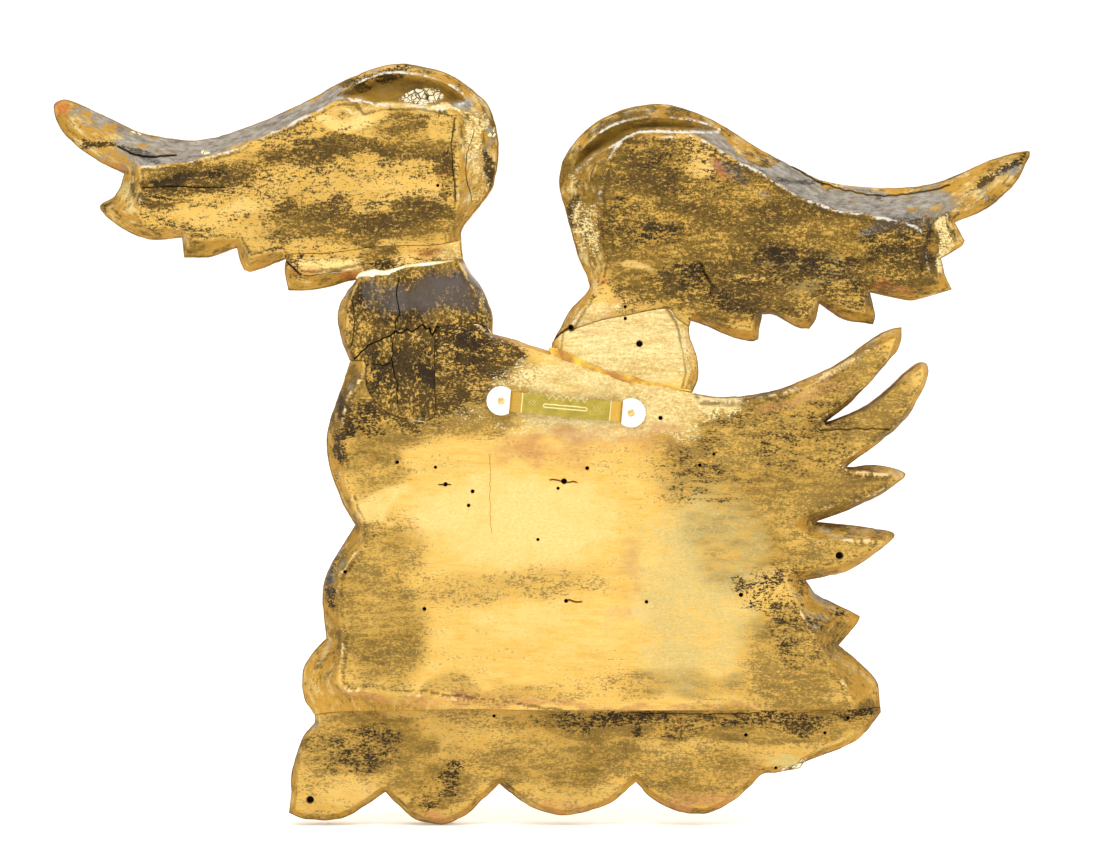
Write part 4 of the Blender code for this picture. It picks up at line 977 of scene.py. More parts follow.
def carveBoard(name, board, material, slotName):
    # The board's solid with the values that its material reads, each on the face, on the back and on the wall
    ring, look = board.ring, board.look
    spacing = look["spacing"] / 1000 / unit * 1
    face = sheet(ring, clipped(board.faceLines(), ring, 1.0), spacing)
    back = sheet(ring, clipped(board.backLines(), ring, 1.0), spacing)

    def fields(drawn, shown, faceCount, backCount):
        counts = faceCount, backCount, len(drawn) - faceCount - backCount
        made = {"face": shown}
        for key, values in {
                "wear": (board.wear, 0, 0), "barb": (board.phase, 0, 0), "slope": (0, board.share, 1),
                "ridge": (0, board.ridgeIn, 0), "arris": (0, board.ridgeOut, 0), "scoop": (0, board.scoop, 0),
                "rim": (0, board.rimNear, 1), "fromRim": (0, board.fromRim * unit, 0),
                "pit": (0, np.clip(board.damage(back[0]), 0, 1), 0)}.items():
            made[key] = np.concatenate([np.broadcast_to(*part) for part in zip(values, counts)])
        for k, (key, ovals) in enumerate(look["films"].items()):
            made[key] = np.clip(coverage(drawn, ovals, 60 + 3 * k) + look["everywhere"].get(key, 0), 0, 1)
        return made

    item = closedSolid(name, ring, face, back, board.faceDepth, board.backDepth, world, fields)
    place(item, material, slotName, name)
    print(name, "carved:", len(item.data.polygons), "faces")


def linear(colour):
    # An sRGB hex colour as linear red, green, blue and alpha
    values = [int(colour[k:k + 2], 16) / 255 for k in (1, 3, 5)]
    return [v / 12.92 if v <= 0.04045 else ((v + 0.055) / 1.055)**2.4 for v in values] + [1]


def fill(tree, socket, value):
    # Links a socket to another, or gives it a plain value
    if isinstance(value, bpy.types.NodeSocket):
        tree.links.new(value, socket)
    else:
        socket.default_value = value


def add(tree, kind, *values, out=0, **settings):
    # A node with its settings; each value goes to its next open input
    node = tree.nodes.new("ShaderNode" + kind)
    for key, value in settings.items():
        setattr(node, key, value)
    for socket, value in zip([socket for socket in node.inputs if socket.enabled], values):
        fill(tree, socket, value)
    return [socket for socket in node.outputs if socket.enabled][out]


def started(name):
    # A new material, and the call that adds nodes to it
    material = bpy.data.materials.new(name)
    material.use_nodes = True
    return material, partial(add, material.node_tree)


def surfaced(material, surface):
    # Gives the shader its inputs
    tree = material.node_tree
    for key, value in surface.items():
        fill(tree, tree.nodes["Principled BSDF"].inputs[key], value)
    return material


tint = {"data_type": "RGBA"}
times = {"operation": "MULTIPLY"}
timesPlus = {"operation": "MULTIPLY_ADD"}
plus = {"operation": "ADD"}
less = {"operation": "SUBTRACT"}
most = {"operation": "MAXIMUM"}


def pattern(put, here, stretch, scale, detail=8.0, roughness=0.6, shift=0.0, low=0.36, high=0.64):
    # Noise over the object's own coordinates, stretched along the grain and spread to the full range
    at = put("Mapping", here, (shift, shift * 0.7, -shift), (0, 0, 0), stretch)
    return put("MapRange", put("TexNoise", at, scale, detail, roughness), low, high)


def blend(put, *terms):
    # The sum of several values, each times its share
    total = 0.0
    for share, value in terms:
        total = put("Math", value, share, total, **timesPlus)
    return total


def film(put, cover, noise, soft=0.05):
    # 1 where the noise reaches what the cover leaves open, with a crisp edge; 0 where there is no cover
    crisp = put("MapRange", put("Math", cover, noise, **plus), 1 - soft, 1 + soft)
    return put("Math", crisp, put("MapRange", cover, 0.02, 0.12), **times)


# The grey-lilac pair is the colour of a painted sheen; the dark brown pair for hollows and the near black for holes and
# cracks are painted shade; the pale arris tone is wear with a painted highlight
woodTones = {
    "light": "#EFCB78", "mid": "#D6A646", "grain": "#9C7028", "dirty": "#96742C", "low": "#A67A2C",
    "patina": ("#7C6022", "#463410"), "umber": ("#4C380F", "#241803"), "pale": ("#F6D890", "#E8BE6C"),
    "cream": ("#EAD79C", "#BE9C56"), "lilac": ("#56524E", "#A8A298"), "bole": ("#D0823E", "#A0522A"),
    "verdigris": ("#A8924A", "#D2C286"), "scoop": ("#94701E", "#3A2A08"), "pit": "#120C06",
    "speck": "#3A2B14", "nickAndHighlight": "#D8D2C4", "gesso": "#F6F1E4"}
panelTones = {
    **woodTones, "nickAndHighlight": "#F0CC92", "patina": ("#84682A", "#52401A"), "pale": ("#F2D28C", "#E2B768"),
    "bole": ("#C9925C", "#A4703F"), "verdigris": ("#A8985A", "#D6C486")}
umberTones = {
    **woodTones, "nickAndHighlight": "#CDA75A", "lilac": ("#5E5550", "#8A8078"), "cream": ("#D9BE7C", "#A98A48")}
giltTones = {"leaf": "#E2B04A", "wearAndFacingLight": "#9C4A26", "gesso": "#EADFC6", "dirt": "#3A2812"}


def oldWood(name, tones=woodTones, along=(1.0, 1.0, 2.2), crisp=1.0, edgeWear=0.1, gloss=0.0, shift=0.0):
    # Old carved softwood, sawn behind and water-gilded in front: dull ochre wood under broken brown films,
    # scraped gesso and glue, and on the face worn gold leaf over red clay
    material, put = started(name)
    here = put("TexCoord", out=3)
    upward = put("SeparateXYZ", put("NewGeometry", out=1), out=2)
    across, deep, high = (put("SeparateXYZ", here, out=k) for k in range(3))
    inks = {key: linear(tone) if isinstance(tone, str) else [linear(colour) for colour in tone]
            for key, tone in tones.items()}
    leafInks = {key: linear(colour) for key, colour in giltTones.items()}
    field = {key: put("Attribute", attribute_name=key, out=2) for key in (
        "face", "wear", "barb", "slope", "ridge", "arris", "scoop", "rim", "fromRim", "pit",
        "patina", "umber", "pale", "cream", "lilac", "bole", "gesso", "verdigris")}
    pale, cream, umber, patina, lilac = (field[key] for key in ("pale", "cream", "umber", "patina", "lilac"))

    # Patterns, from 40 mm clouds down to specks of a millimetre; those on chamfers run along the rim
    patches = pattern(put, here, along, 24, 6, 0.62, shift)
    streaks = pattern(put, here, tuple(1.7 * a if a > 1 else a for a in along), 75, 8, 0.68, shift + 1)
    flecks = pattern(put, here, along, 480, 5, 0.75, shift + 3)
    grain = pattern(put, here, tuple(5.0 * a if a > 1 else a * 0.4 for a in along), 260, 4, 0.6, shift + 5)
    clouds = pattern(put, here, (1, 1, 1.3), 34, 9, 0.65, shift + 7)
    blots = pattern(put, here, (1, 1, 1.2), 105, 6, 0.72, shift + 8)
    crumbs = pattern(put, here, (1, 1, 1), 800, 3, 0.7, shift + 9, 0.4, 0.6)
    ragged = blend(put, (0.18, patches), (0.27, streaks), (0.37, flecks), (0.18, crumbs))
    ragged = put("MapRange", ragged, 0.28, 0.72)
    blotchy = put("MapRange", blend(put, (0.46, clouds), (0.36, flecks), (0.18, crumbs)), 0.2, 0.8)
    crusty = put("MapRange", blend(put, (0.35, clouds), (0.45, blots), (0.20, flecks)), 0.2, 0.8)
    alongRim = put("CombineXYZ", across, put("Math", field["fromRim"], 3.0, **times), high)
    rimStreaks = pattern(put, alongRim, (1, 1, 1), 70, 7, 0.68, shift + 11)
    rimFlecks = pattern(put, alongRim, (1, 1, 1), 160, 6, 0.72, shift + 13)
    stretched = put("Mapping", here, (0, 0, 0), (0, 0, 0), (1.0, 1.0, 0.6))
    plates = put("MapRange", put("TexVoronoi", stretched, 300.0, feature="DISTANCE_TO_EDGE"), 0.03, 0.09)
    tone = put("MapRange", blend(put, (0.5, patches), (0.3, crumbs), (0.2, streaks)), 0.25, 0.75)
    umberTone = put("MapRange", blend(put, (0.7, clouds), (0.3, crumbs)), 0.3, 0.7)
    slope = put("MapRange", field["slope"], 0.02, 0.12)
    kept = put("Math", pale, -0.85, 1.0, **timesPlus)
    bare = put("Math", patina, kept, **times)
    brownInk = put("Mix", tone, *inks["patina"], **tint)

    # Each layer is how much it hides, and its colour. First the grain, and paler wood where it is clean
    layers = [
        (put("Math", film(put, put("Math", flecks, 0.25, **times), grain, 0.2), 0.4, **times), inks["grain"]),
        (film(put, pale, blotchy, 0.3), put("Mix", flecks, *inks["pale"], **tint))]

    # Then a thin brown glaze, and the brown film with flecks worn through it and flecks strewn past it
    uneven = put("MapRange", blend(put, (0.4, streaks), (0.4, clouds), (0.2, flecks)), 0.15, 0.8, 0.25, 1.0)
    glazeInk = put("Mix", put("MapRange", blots, 0.3, 0.9), inks["dirty"], inks["patina"][0], **tint)
    layers.append((put("Math", put("MapRange", bare, 0.08, 0.70), uneven, **times), glazeInk))
    coarse = film(put, put("Math", bare, 0.80, **times), ragged, 0.12)
    flecked = film(put, put("MapRange", bare, 0.0, 1.0, 0.55, 0.80), flecks, 0.14)
    clean = put("MapRange", put("Math", pale, cream, **most), 0.0, 0.6, 1.0, 0.15)
    strewn = put("Math", put("MapRange", bare, 0.05, 0.5, 0.0, 0.26), clean, **times)
    broken = put("Math", put("Math", coarse, flecked, **times), film(put, strewn, flecks, 0.08), **most)
    brown = put("Math", broken, crisp, **times)
    layers.append((brown, brownInk))

    # The chamfers, streaked along the rim: ochre, cream and brown, with less cream where they face down as painted
    # shade, and a grey painted sheen where they look up
    side = put("MapRange", blend(put, (0.5, rimFlecks), (0.5, blots)), 0.2, 0.8)
    side = put("Mix", side, inks["low"], inks["mid"], **tint)
    # painted shade: less cream on chamfers that face down
    wearAndFacingLight = film(put, put("MapRange", upward, -0.10, -0.42, 0.34, 0.14), rimStreaks, 0.2)
    side = put("Mix", put("Math", wearAndFacingLight, 0.55 * crisp, **times), side, inks["cream"][0], **tint)
    stained = blend(put, (0.5, rimFlecks), (0.5, crusty))
    stained = film(put, put("Math", patina, 0.40, 0.30, **timesPlus), stained, 0.2)
    side = put("Mix", stained, side, brownInk, **tint)
    layers.append((put("Math", slope, put("MapRange", kept, 0.3, 1.0, 0.5, 1.0), **times), side))
    # painted sheen: grey on chamfers that face up, where the grey-lilac ovals reach, and on the dark brown film
    upturned = put("Math", put("MapRange", upward, 0.08, 0.36), slope, **times)
    upturned = put("Math", upturned, put("MapRange", lilac, 0.0, 0.8, 0.22, 0.95), **times)
    wearAndFacingLight = film(put, upturned, blend(put, (0.5, rimStreaks), (0.5, rimFlecks)), 0.12)
    sized = put("Math", put("Math", slope, 0.5, **times), umber, **most)
    paintedSheenGrey = put("Math", wearAndFacingLight, film(put, put("Math", lilac, sized, **times), crusty, 0.25), **most)
    layers.append((put("Math", paintedSheenGrey, 0.9, **times), put("Mix", rimFlecks, *inks["lilac"], **tint)))

    # Stains and remains that lie over everything, with painted shade in the hollows and a painted grey-lilac sheen on
    # the dark brown film
    dark = put("MapRange", blend(put, (0.45, crusty), (0.55, ragged)), 0.15, 0.85)
    dark = film(put, umber, dark, 0.10)
    green = film(put, field["verdigris"], blotchy, 0.35)
    red = film(put, field["bole"], clouds, 0.4)
    paintedSheenOnUmber = film(put, put("Math", lilac, umber, **times), clouds, 0.5)
    scraped = film(put, cream, blotchy, 0.12)
    ground = film(put, field["gesso"], blend(put, (0.5, blots), (0.5, flecks)), 0.08)
    flaked = put("Math", plates, put("MapRange", flecks, 0.15, 0.35), **times)
    flaked = put("Math", ground, flaked, **times)
    layers += [
        (put("Math", green, 0.7, **times), put("Mix", flecks, *inks["verdigris"], **tint)),
        # painted shade: the hollows darkened towards their middle
        (put("Math", field["scoop"], 0.9, **times), put("Mix", clouds, *inks["scoop"][::-1], **tint)),
        (dark, put("Mix", umberTone, *inks["umber"], **tint)),
        # painted sheen: smooth grey-lilac over the dark brown film where the grey-lilac ovals lie
        (put("Math", paintedSheenOnUmber, 0.8, **times), inks["lilac"][0]),
        (scraped, put("Mix", ragged, *inks["cream"][::-1], **tint)),
        (put("Math", red, 0.7, **times), put("Mix", flecks, *inks["bole"], **tint)),
        (ground, inks["umber"][0]),
        (flaked, put("Mix", blots, inks["gesso"], inks["cream"][0], **tint))]

    # Lines: dark creases inside the flat's border, pale arrises outside it, paler where they face up as a painted
    # highlight, the rubbed rim, and the holes and cracks painted near black towards their bottoms as painted shade
    creases = film(put, put("Math", field["ridge"], 0.9, **times), blotchy, 0.3)
    # the pale arris line is wear, and brighter where it faces up as a painted highlight
    nicksAndHighlight = put("Math", field["arris"], put("MapRange", upward, 0.0, 0.25, edgeWear, 0.65), **times)
    nicksAndHighlight = film(put, nicksAndHighlight, crusty, 0.2)
    rubbing = film(put, put("MapRange", field["rim"], 0.30, 0.62, 0.0, 0.9), clouds, 0.2)
    layers += [
        (put("Math", creases, 0.7, **times), inks["umber"][0]),
        (put("Math", nicksAndHighlight, 0.9, **times), inks["nickAndHighlight"]),
        (put("Math", rubbing, 0.85, **times), put("Mix", streaks, inks["speck"], inks["grain"], **tint)),
        # painted shade: holes and cracks near black towards their bottoms
        (field["pit"], inks["pit"])]

    # The face's gilding, with clay showing on what stands proud and dirt in the cuts
    proud = put("MapRange", field["wear"], 0.0, 1.0, 0.05, 0.62)
    clay = film(put, proud, blotchy, 0.12)
    chipped = film(put, put("Math", proud, 0.16, **times), blotchy, 0.05)
    dirty = film(put, put("MapRange", field["wear"], 0.0, -1.0, 0.10, 0.9), blotchy, 0.3)
    gold = put("Mix", clay, leafInks["leaf"], leafInks["wearAndFacingLight"], **tint)
    gold = put("Mix", chipped, gold, leafInks["gesso"], **tint)
    gold = put("Mix", put("Math", dirty, 0.8, **times), gold, leafInks["dirt"], **tint)
    gilt = film(put, put("MapRange", field["face"], 0.15, 0.75), blotchy, 0.06)
    layers.append((gilt, gold))

    colour = put("Mix", blend(put, (0.6, streaks), (0.4, flecks)), inks["mid"], inks["light"], **tint)
    for share, ink in layers:
        colour = put("Mix", share, colour, ink, **tint)
    leaf = put("Math", gilt, put("Math", clay, dirty, **most), use_clamp=True, **less)
    dull = put("MapRange", ragged, 0.0, 1.0, 0.78 - gloss, 0.62 - gloss)
    barbs = put("Math", put("Math", field["barb"], 2 * math.pi, **times), operation="SINE")
    relief = blend(put, (0.30, ragged), (0.35, grain), (0.18, crumbs), (0.25, brown), (0.35, scraped),
                   (0.45, barbs), (0.5, flaked))
    return surfaced(material, {
        "Base Color": colour,
        "Metallic": put("Math", leaf, 0.85, **times),
        "Roughness": put("Math", dull, blend(put, (0.10, dark), (0.18, paintedSheenGrey), (0.28, leaf)), **less),
        "Specular IOR Level": 0.20,
        "Normal": put("Bump", 0.6, 0.0006, relief)})


leftWing = Board(
    [seam(wingSeam, 1),
     [(461, 241), (462, 228), (474, 212), (494, 182), (499, 142), (490, 108), (475, 90), (453, 75), (423, 65), (402, 62.5),
      (378, 66), (344, 79), (300, 103), (247, 126), (200, 139), (167, 137), (134, 129), (106, 116), (73, 101), (60, 99),
      (52, 107), (62, 132), (91, 157), (123, 173)],
     [(123, 173), (119, 185), (113, 196)],
     [(113, 196), (98, 206), (113, 223), (147, 239), (181, 237)],
     [(181, 237), (183, 257)], [(183, 257), (207, 257), (236, 247)],
     [(236, 247), (239, 260), (243, 269.5)], [(243, 269.5), (253, 271), (286, 258)]],
    wingBack, wingChamfer, leftWingCarving(), wingFace - 0.001, leftWingLook,
    flat=[(144, 198), (141, 170), (180, 167), (224, 156), (260, 142), (294, 126), (326, 109), (341, 104), (358, 103),
          (365, 112), (383, 109), (421, 109), (441, 112), (455, 118), (457, 203), (448, 238), (447, 262), (290, 262),
          (283, 249), (252, 256), (241, 238), (190, 239), (185, 227), (150, 228), (140, 213)],
    hollow=[(331, 97), (381, 75), (421, 76), (446, 84), (466, 100), (441, 106), (383, 104), (358, 99)])

leftWingStrip = Board(
    [seam(wingSeam, -1), [(461, 241), (463, 259)], seam(neckTop, 1)[::-1],
     [(357, 279), (331, 286), (308, 290), (288, 290)], [(288, 290), (284, 270), (286, 258)]],
    wingStripBack, wingChamfer * 0.8, leftWingCarving(), wingFace - 0.001, leftWingStripLook,
    flat=[(291, 240), (291, 262), (302, 274), (340, 272), (362, 266), (372, 290), (480, 290), (480, 230)])

neckBlock = Board(
    [seam(neckTop, -1), [(463, 259), (472, 274), (483, 289), (492, 313), (492, 333.5)], seam(neckFoot, 1)[::-1],
     [(350, 361), (343, 345), (338, 327), (338, 310), (345, 294), (357, 279)]],
    neckBack, neckChamfer, headCarving() + bodyCarving(), panelFace, neckLook,
    flat=[(364, 250), (362, 279), (357, 293), (350, 312), (346, 333), (354, 361), (354, 440), (484, 440), (484, 336),
          (482, 312), (472, 290), (458, 264), (458, 250)])

rightWing = Board(
    [seam(shoulderSeam, 1), [(689, 327), (691, 320)], [(691, 320), (710, 327), (729, 336), (751, 341), (759, 339)],
     [(759, 339), (761, 326), (763, 314)], [(763, 314), (776, 315), (798, 327), (810, 328.5)],
     [(810, 328.5), (816, 321), (820, 303)], [(820, 303), (844, 319), (874, 324)],
     [(874, 324), (876, 314), (871, 292)], [(871, 292), (898, 298), (915, 300), (953, 289)],
     [(953, 289), (948, 278), (942, 258)], [(942, 258), (962, 247), (966, 240)], [(966, 240), (956, 222)],
     [(956, 222), (988, 208), (1015, 185), (1031, 156)],
     [(1031, 156), (1028, 150), (994, 158), (961, 173), (928, 184), (878, 187), (828, 181), (795, 166), (755, 145),
      (716, 120), (679, 106), (653, 103), (619, 110), (590, 126), (566, 153), (559, 180), (563, 203), (576, 249), (588, 278)],
     [(588, 278), (588, 289), (570, 310), (552, 343)]],
    wingBack, wingChamfer, rightWingCarving() + bodyCarving(), wingFace - 0.001, rightWingLook,
    flat=[(609, 161), (601, 197), (611, 240), (598, 290), (574, 325), (560, 360), (690, 360), (690, 312), (735, 328),
          (750, 330), (757, 308), (768, 306), (792, 318), (806, 318), (816, 294), (846, 309), (863, 311), (864, 284),
          (905, 286), (926, 276), (919, 232), (900, 224), (831, 212), (792, 196), (753, 173), (722, 155), (692, 138), (625, 141)],
    hollow=[(571, 176), (580, 152), (600, 134), (620, 124), (650, 118), (690, 121), (718, 130), (685, 132), (650, 131),
            (632, 134), (613, 145), (590, 158)])

rightShoulderBlock = Board(
    [seam(shoulderSeam, -1), [(689, 327), (690, 337), (697, 358), (698, 378), (692, 393)], seam(shoulderFoot, 1)[::-1],
     [(551, 351.5), (552, 343)]],
    shoulderBack, shoulderChamfer, rightWingCarving() + bodyCarving(), panelFace - 0.004, shoulderLook,
    flat=[(566, 300), (560, 345), (556, 370), (680, 400), (687, 372), (683, 348), (676, 322), (664, 300)])

mainPanel = Board(
    [seam(neckFoot, -1), [(492, 333.5), (515, 339), (551, 351.5)], seam(shoulderFoot, -1),
     [(692, 393), (716, 396), (748, 395), (784, 387), (833, 366), (875, 337), (891, 329), (902, 327)],
     [(902, 327), (901, 345), (887, 364), (851, 403), (825, 423)],
     [(825, 423), (869, 404), (905, 373), (921, 362), (929, 366), (927, 383), (908, 417), (887, 437), (847, 467)],
     [(847, 467), (878, 465), (906, 474), (888, 491), (852, 509), (816, 522)],
     [(816, 522), (865, 527), (895, 534), (878, 552), (844, 573), (807, 581)],
     [(807, 581), (816, 594)], [(816, 594), (854, 613), (860, 621), (840, 646)],
     [(840, 646), (854, 657), (878, 682), (881.5, 708)], seam(panelFoot, 1)[::-1],
     [(314, 715), (303, 698), (303, 669), (318, 646), (326, 639)],
     [(326, 639), (322, 600), (328, 570), (355, 525)],
     [(355, 525), (343, 506), (329, 466), (327, 431), (339, 393), (350, 361)]],
    panelBack, panelChamfer, bodyCarving() + lowerCarving(), panelFace - 0.004, panelLook,
    flat=[(365, 375), (350, 398), (343, 433), (347, 482), (359, 510), (367, 529), (373, 534), (356, 555), (342, 576),
          (341, 594), (345, 643), (342, 680), (350, 687), (374, 688), (436, 694), (473, 699), (560, 709), (560, 730),
          (856, 730), (843, 686), (822, 654), (803, 623), (790, 595), (784, 572), (835, 564), (864, 552), (882, 540),
          (839, 541), (814, 540), (783, 522), (815, 510), (850, 500), (880, 490), (897, 478), (845, 473), (835, 461),
          (868, 445), (892, 428), (908, 404), (919, 384), (921, 369), (905, 380), (870, 408), (826, 428), (818, 421),
          (850, 396), (868, 382), (885, 360), (893, 340), (857, 358), (833, 374), (784, 395), (748, 402), (700, 402),
          (690, 380), (551, 340), (551, 357), (515, 345), (495, 341), (470, 320), (365, 340)],
    deep=([(775, 573), (900, 573), (900, 730), (860, 730)], leafChamfer))

lowerBoard = Board(
    [seam(panelFoot, -1), [(881.5, 708), (882, 713)],
     [(882, 713), (866, 734), (850, 746), (827, 755), (806, 763), (799, 770), (776, 774)],
     [(776, 774), (763, 776), (747, 791), (730, 805), (710, 814), (689, 815), (669, 809), (650, 798), (636, 783)],
     [(636, 783), (625, 793), (609, 805), (579, 815), (561, 817), (533, 809), (514, 797), (499, 785)],
     [(499, 785), (483, 801), (466, 816), (447, 825), (433, 825), (414, 820), (396, 805), (385, 793)],
     [(385, 793), (362, 809), (344, 819), (327, 822), (303, 820), (288, 814)],
     [(288, 814), (290, 797), (291, 772), (301, 740), (314, 723)], [(314, 723), (314, 715)]],
    lowerBack, lowerChamfer, lowerCarving() + bodyCarving(), lowerFace - 0.003, lowerLook, chamferWidth=7.0)
print("outlines drawn")

ochreWood = oldWood("ochre softwood", panelTones, crisp=0.65, edgeWear=0.3)
giltWood = oldWood("gilded softwood", shift=2.3)
umberWood = oldWood("umber stained softwood", umberTones, along=(1.2, 1.0, 1.0), gloss=0.08, shift=4.1)
creamWood = oldWood("scraped gessoed softwood", along=(1.0, 1.0, 4.0), shift=6.7)

carveBoard("left_wing", leftWing, giltWood, "gilt_wood")
carveBoard("left_wing_strip", leftWingStrip, giltWood, "gilt_wood")
carveBoard("neck_block", neckBlock, umberWood, "umber_wood")
carveBoard("right_wing", rightWing, giltWood, "gilt_wood")
carveBoard("right_shoulder_block", rightShoulderBlock, creamWood, "cream_wood")
carveBoard("main_panel", mainPanel, ochreWood, "ochre_wood")
carveBoard("lower_board", lowerBoard, ochreWood, "ochre_wood")


hanger = {  # mm, and degrees
    "length": 63.4, "height": 11.4, "thick": 0.9, "step": 6.5, "tab": 4.5, "tilt": 5.3,
    "slotAt": -0.5, "slotHalf": 11.5, "slotDrop": 0.4, "slotRadius": 0.9,
    "toothPitch": 4.0, "toothDepth": 2.2, "toothHalf": 1.4, "teeth": 6,
    "lineWidth": 0.35, "lineRise": 0.22,
    "plateRadius": 8.3, "plateInset": 5.0, "plateThick": 1.2, "plateDome": 0.4,
    "headRadius": 1.9, "headRise": 0.7, "headEdge": 0.2, "shank": 0.9, "nailLength": 16.0}
gapThere = jointGap * 1000
nailPlace = hanger["length"] / 2 + gapThere + hanger["plateInset"]
tabBack = panelBack * 1000 - gapThere - hanger["thick"]
plateFace = tabBack - gapThere


def hangerPoint(points):
    # From the strip's own millimetres, along and across, to x and z
    off = np.asarray(points) * (-1, 1) / 1000
    return np.stack(turned(off, -hanger["tilt"]), axis=1)


def pressed(points):
    # Distance in mm to the pressed slot's outline, the two bends and the hatched marks beside the teeth
    x, y = points.T
    bend = np.abs(np.abs(x) - hanger["length"] / 2 + hanger["step"])
    beyond = np.maximum(0, np.abs(x - hanger["slotAt"]) - hanger["slotHalf"])
    slot = np.abs(np.hypot(beyond, y + hanger["slotDrop"]) - hanger["slotRadius"])
    hatched = (np.abs(np.abs(x + 1.0) - 18.5) < 2.2) & (np.abs(y - 0.6) < 1.6)
    return slot, bend, np.where(hatched, np.abs((x - y * 0.8) % 1.6 - 0.8), 9)


def stripBack(points):
    # Level in the middle, sloping at each end down to tabs that lie on the wood, with pressed lines
    x, y = points.T
    half = hanger["length"] / 2
    level = tabBack * np.clip((np.abs(x) - half) / hanger["step"] + 1, 0, 1)
    bead = np.minimum(*pressed(points)[:2])
    return (level - hanger["lineRise"] * np.sqrt(np.clip(1 - (bead / hanger["lineWidth"])**2, 0, 1))) / 1000


def stripFields(drawn, shown, faceCount, backCount):
    # Where the strip is bright, on its pressed lines and cut edges, and golden, on its sloping ends
    slot, bend, marks = pressed(drawn)
    width, pitch = hanger["lineWidth"], hanger["toothPitch"]
    toothed = pitch * hanger["teeth"] / 2
    across = np.abs((drawn[:, 0] + toothed) % pitch - pitch / 2)
    cut = hanger["height"] / 2 - hanger["toothDepth"] * np.clip(1 - across / hanger["toothHalf"], 0, 1)
    toTooth = np.where(np.abs(drawn[:, 0]) < toothed, np.abs(drawn[:, 1] - cut) * 0.6, width)
    near = np.max([np.clip(1 - np.minimum(slot, bend) / 0.4, 0, 1), np.clip(1 - toTooth / width, 0, 1),
                   0.5 * np.clip(1 - marks / width, 0, 1)], axis=0)
    ends = np.abs(drawn[:, 0]) > hanger["length"] / 2 - hanger["step"]
    return {"bright": near, "golden": ends.astype(float)}


def hangerStrip():
    # The strip's outline in mm: teeth along its upper edge and a narrow tab at each end
    half, high, tab = hanger["length"] / 2, hanger["height"] / 2, hanger["tab"]
    reach = nailPlace + tab
    teeth = []
    for k in range(hanger["teeth"]):
        middle, side = (k - (hanger["teeth"] - 1) / 2) * hanger["toothPitch"], hanger["toothHalf"]
        teeth += [(middle - side, high), (middle, high - hanger["toothDepth"]), (middle + side, high)]
    right = [(half, high), (half, tab), (reach, tab)]
    below = [(x, -y) for x, y in right[::-1]]
    left = [(-x, -y) for x, y in right] + [(-x, -y) for x, y in below]
    ring = divide(closed(np.array(teeth + right + below + left, float)), 0.5)[:-1]
    folds = [(side * x, y - 0.1) for x, y in ((half - hanger["step"], high), (half, tab)) for side in (-1, 1)]
    made = sheet(ring, [divide(np.array([(x, -y), (x, y)]), 0.5) for x, y in folds], 0.28)
    return closedSolid("hanger_strip_brass", ring, made, made, lambda p: stripBack(p) + hanger["thick"] / 1000,
                       stripBack, hangerPoint, stripFields, 0.0003)


def closedGrid(name, points, sharp=30):
    # A surface on a grid of rings, each ring closed, with a cap over the first and the last
    rings, sides = points.shape[:2]
    index = np.arange(rings * sides).reshape(rings, sides)
    quads = ringQuads(index)
    first, last = points[0].mean(axis=0), points[-1].mean(axis=0)
    verts = np.vstack([points.reshape(-1, 3), first, last])
    middles = rings * sides + np.repeat([[0], [1]], sides, axis=1)
    caps = np.vstack([np.stack([middles[0], np.roll(index[0], -1), index[0]], axis=1),
                      np.stack([middles[1], index[-1], np.roll(index[-1], -1)], axis=1)])
    a, b, c, d = (verts[quads[:, k]] - first for k in range(4))
    if (np.cross(a, b) * c).sum() + (np.cross(a, c) * d).sum() < 0:
        quads, caps = quads[:, ::-1], caps[:, ::-1]
    return meshFrom(name, verts, caps, quads, sharp=sharp)


def hangerPlate(name, side):
    # A round plate with one straight side: its D outline shrunk ring by ring over a low dome
    radius, inset = hanger["plateRadius"], hanger["plateInset"]
    stop = math.acos(-inset / radius)
    turn = np.linspace(-stop, stop, 72)
    flat = np.linspace(1, -1, 24)[1:-1] * radius * math.sin(stop)
    outlineD = np.vstack([np.stack([radius * np.cos(turn), radius * np.sin(turn)], axis=1),
                          np.stack([np.full(22, -inset), flat], axis=1)])
    steps = np.array([
        (1.0, 0.0), (1.0, 0.72), (0.99, 0.93), (0.965, 1.06), (0.92, 1.15), (0.82, 1.30), (0.7, 1.46), (0.5, 1.60),
        (0.42, 1.60), (0.36, 1.52), (0.3, 1.36), (0.12, 1.30)])  # scale of the outline and height there in mm
    lifts = steps[:, 1] / steps[:, 1].max() * (hanger["plateThick"] + hanger["plateDome"])
    drawn = outlineD[None] * steps[:, 0, None, None]
    mirrored = np.stack([(side * (nailPlace + drawn[..., 0])).ravel(), drawn[..., 1].ravel()], axis=1)
    at = hangerPoint(mirrored).reshape(*drawn.shape)
    depth = (plateFace - np.repeat(lifts[:, None], len(outlineD), axis=1)) / 1000
    return closedGrid(name, np.stack([at[..., 0], -depth, at[..., 1]], axis=-1))


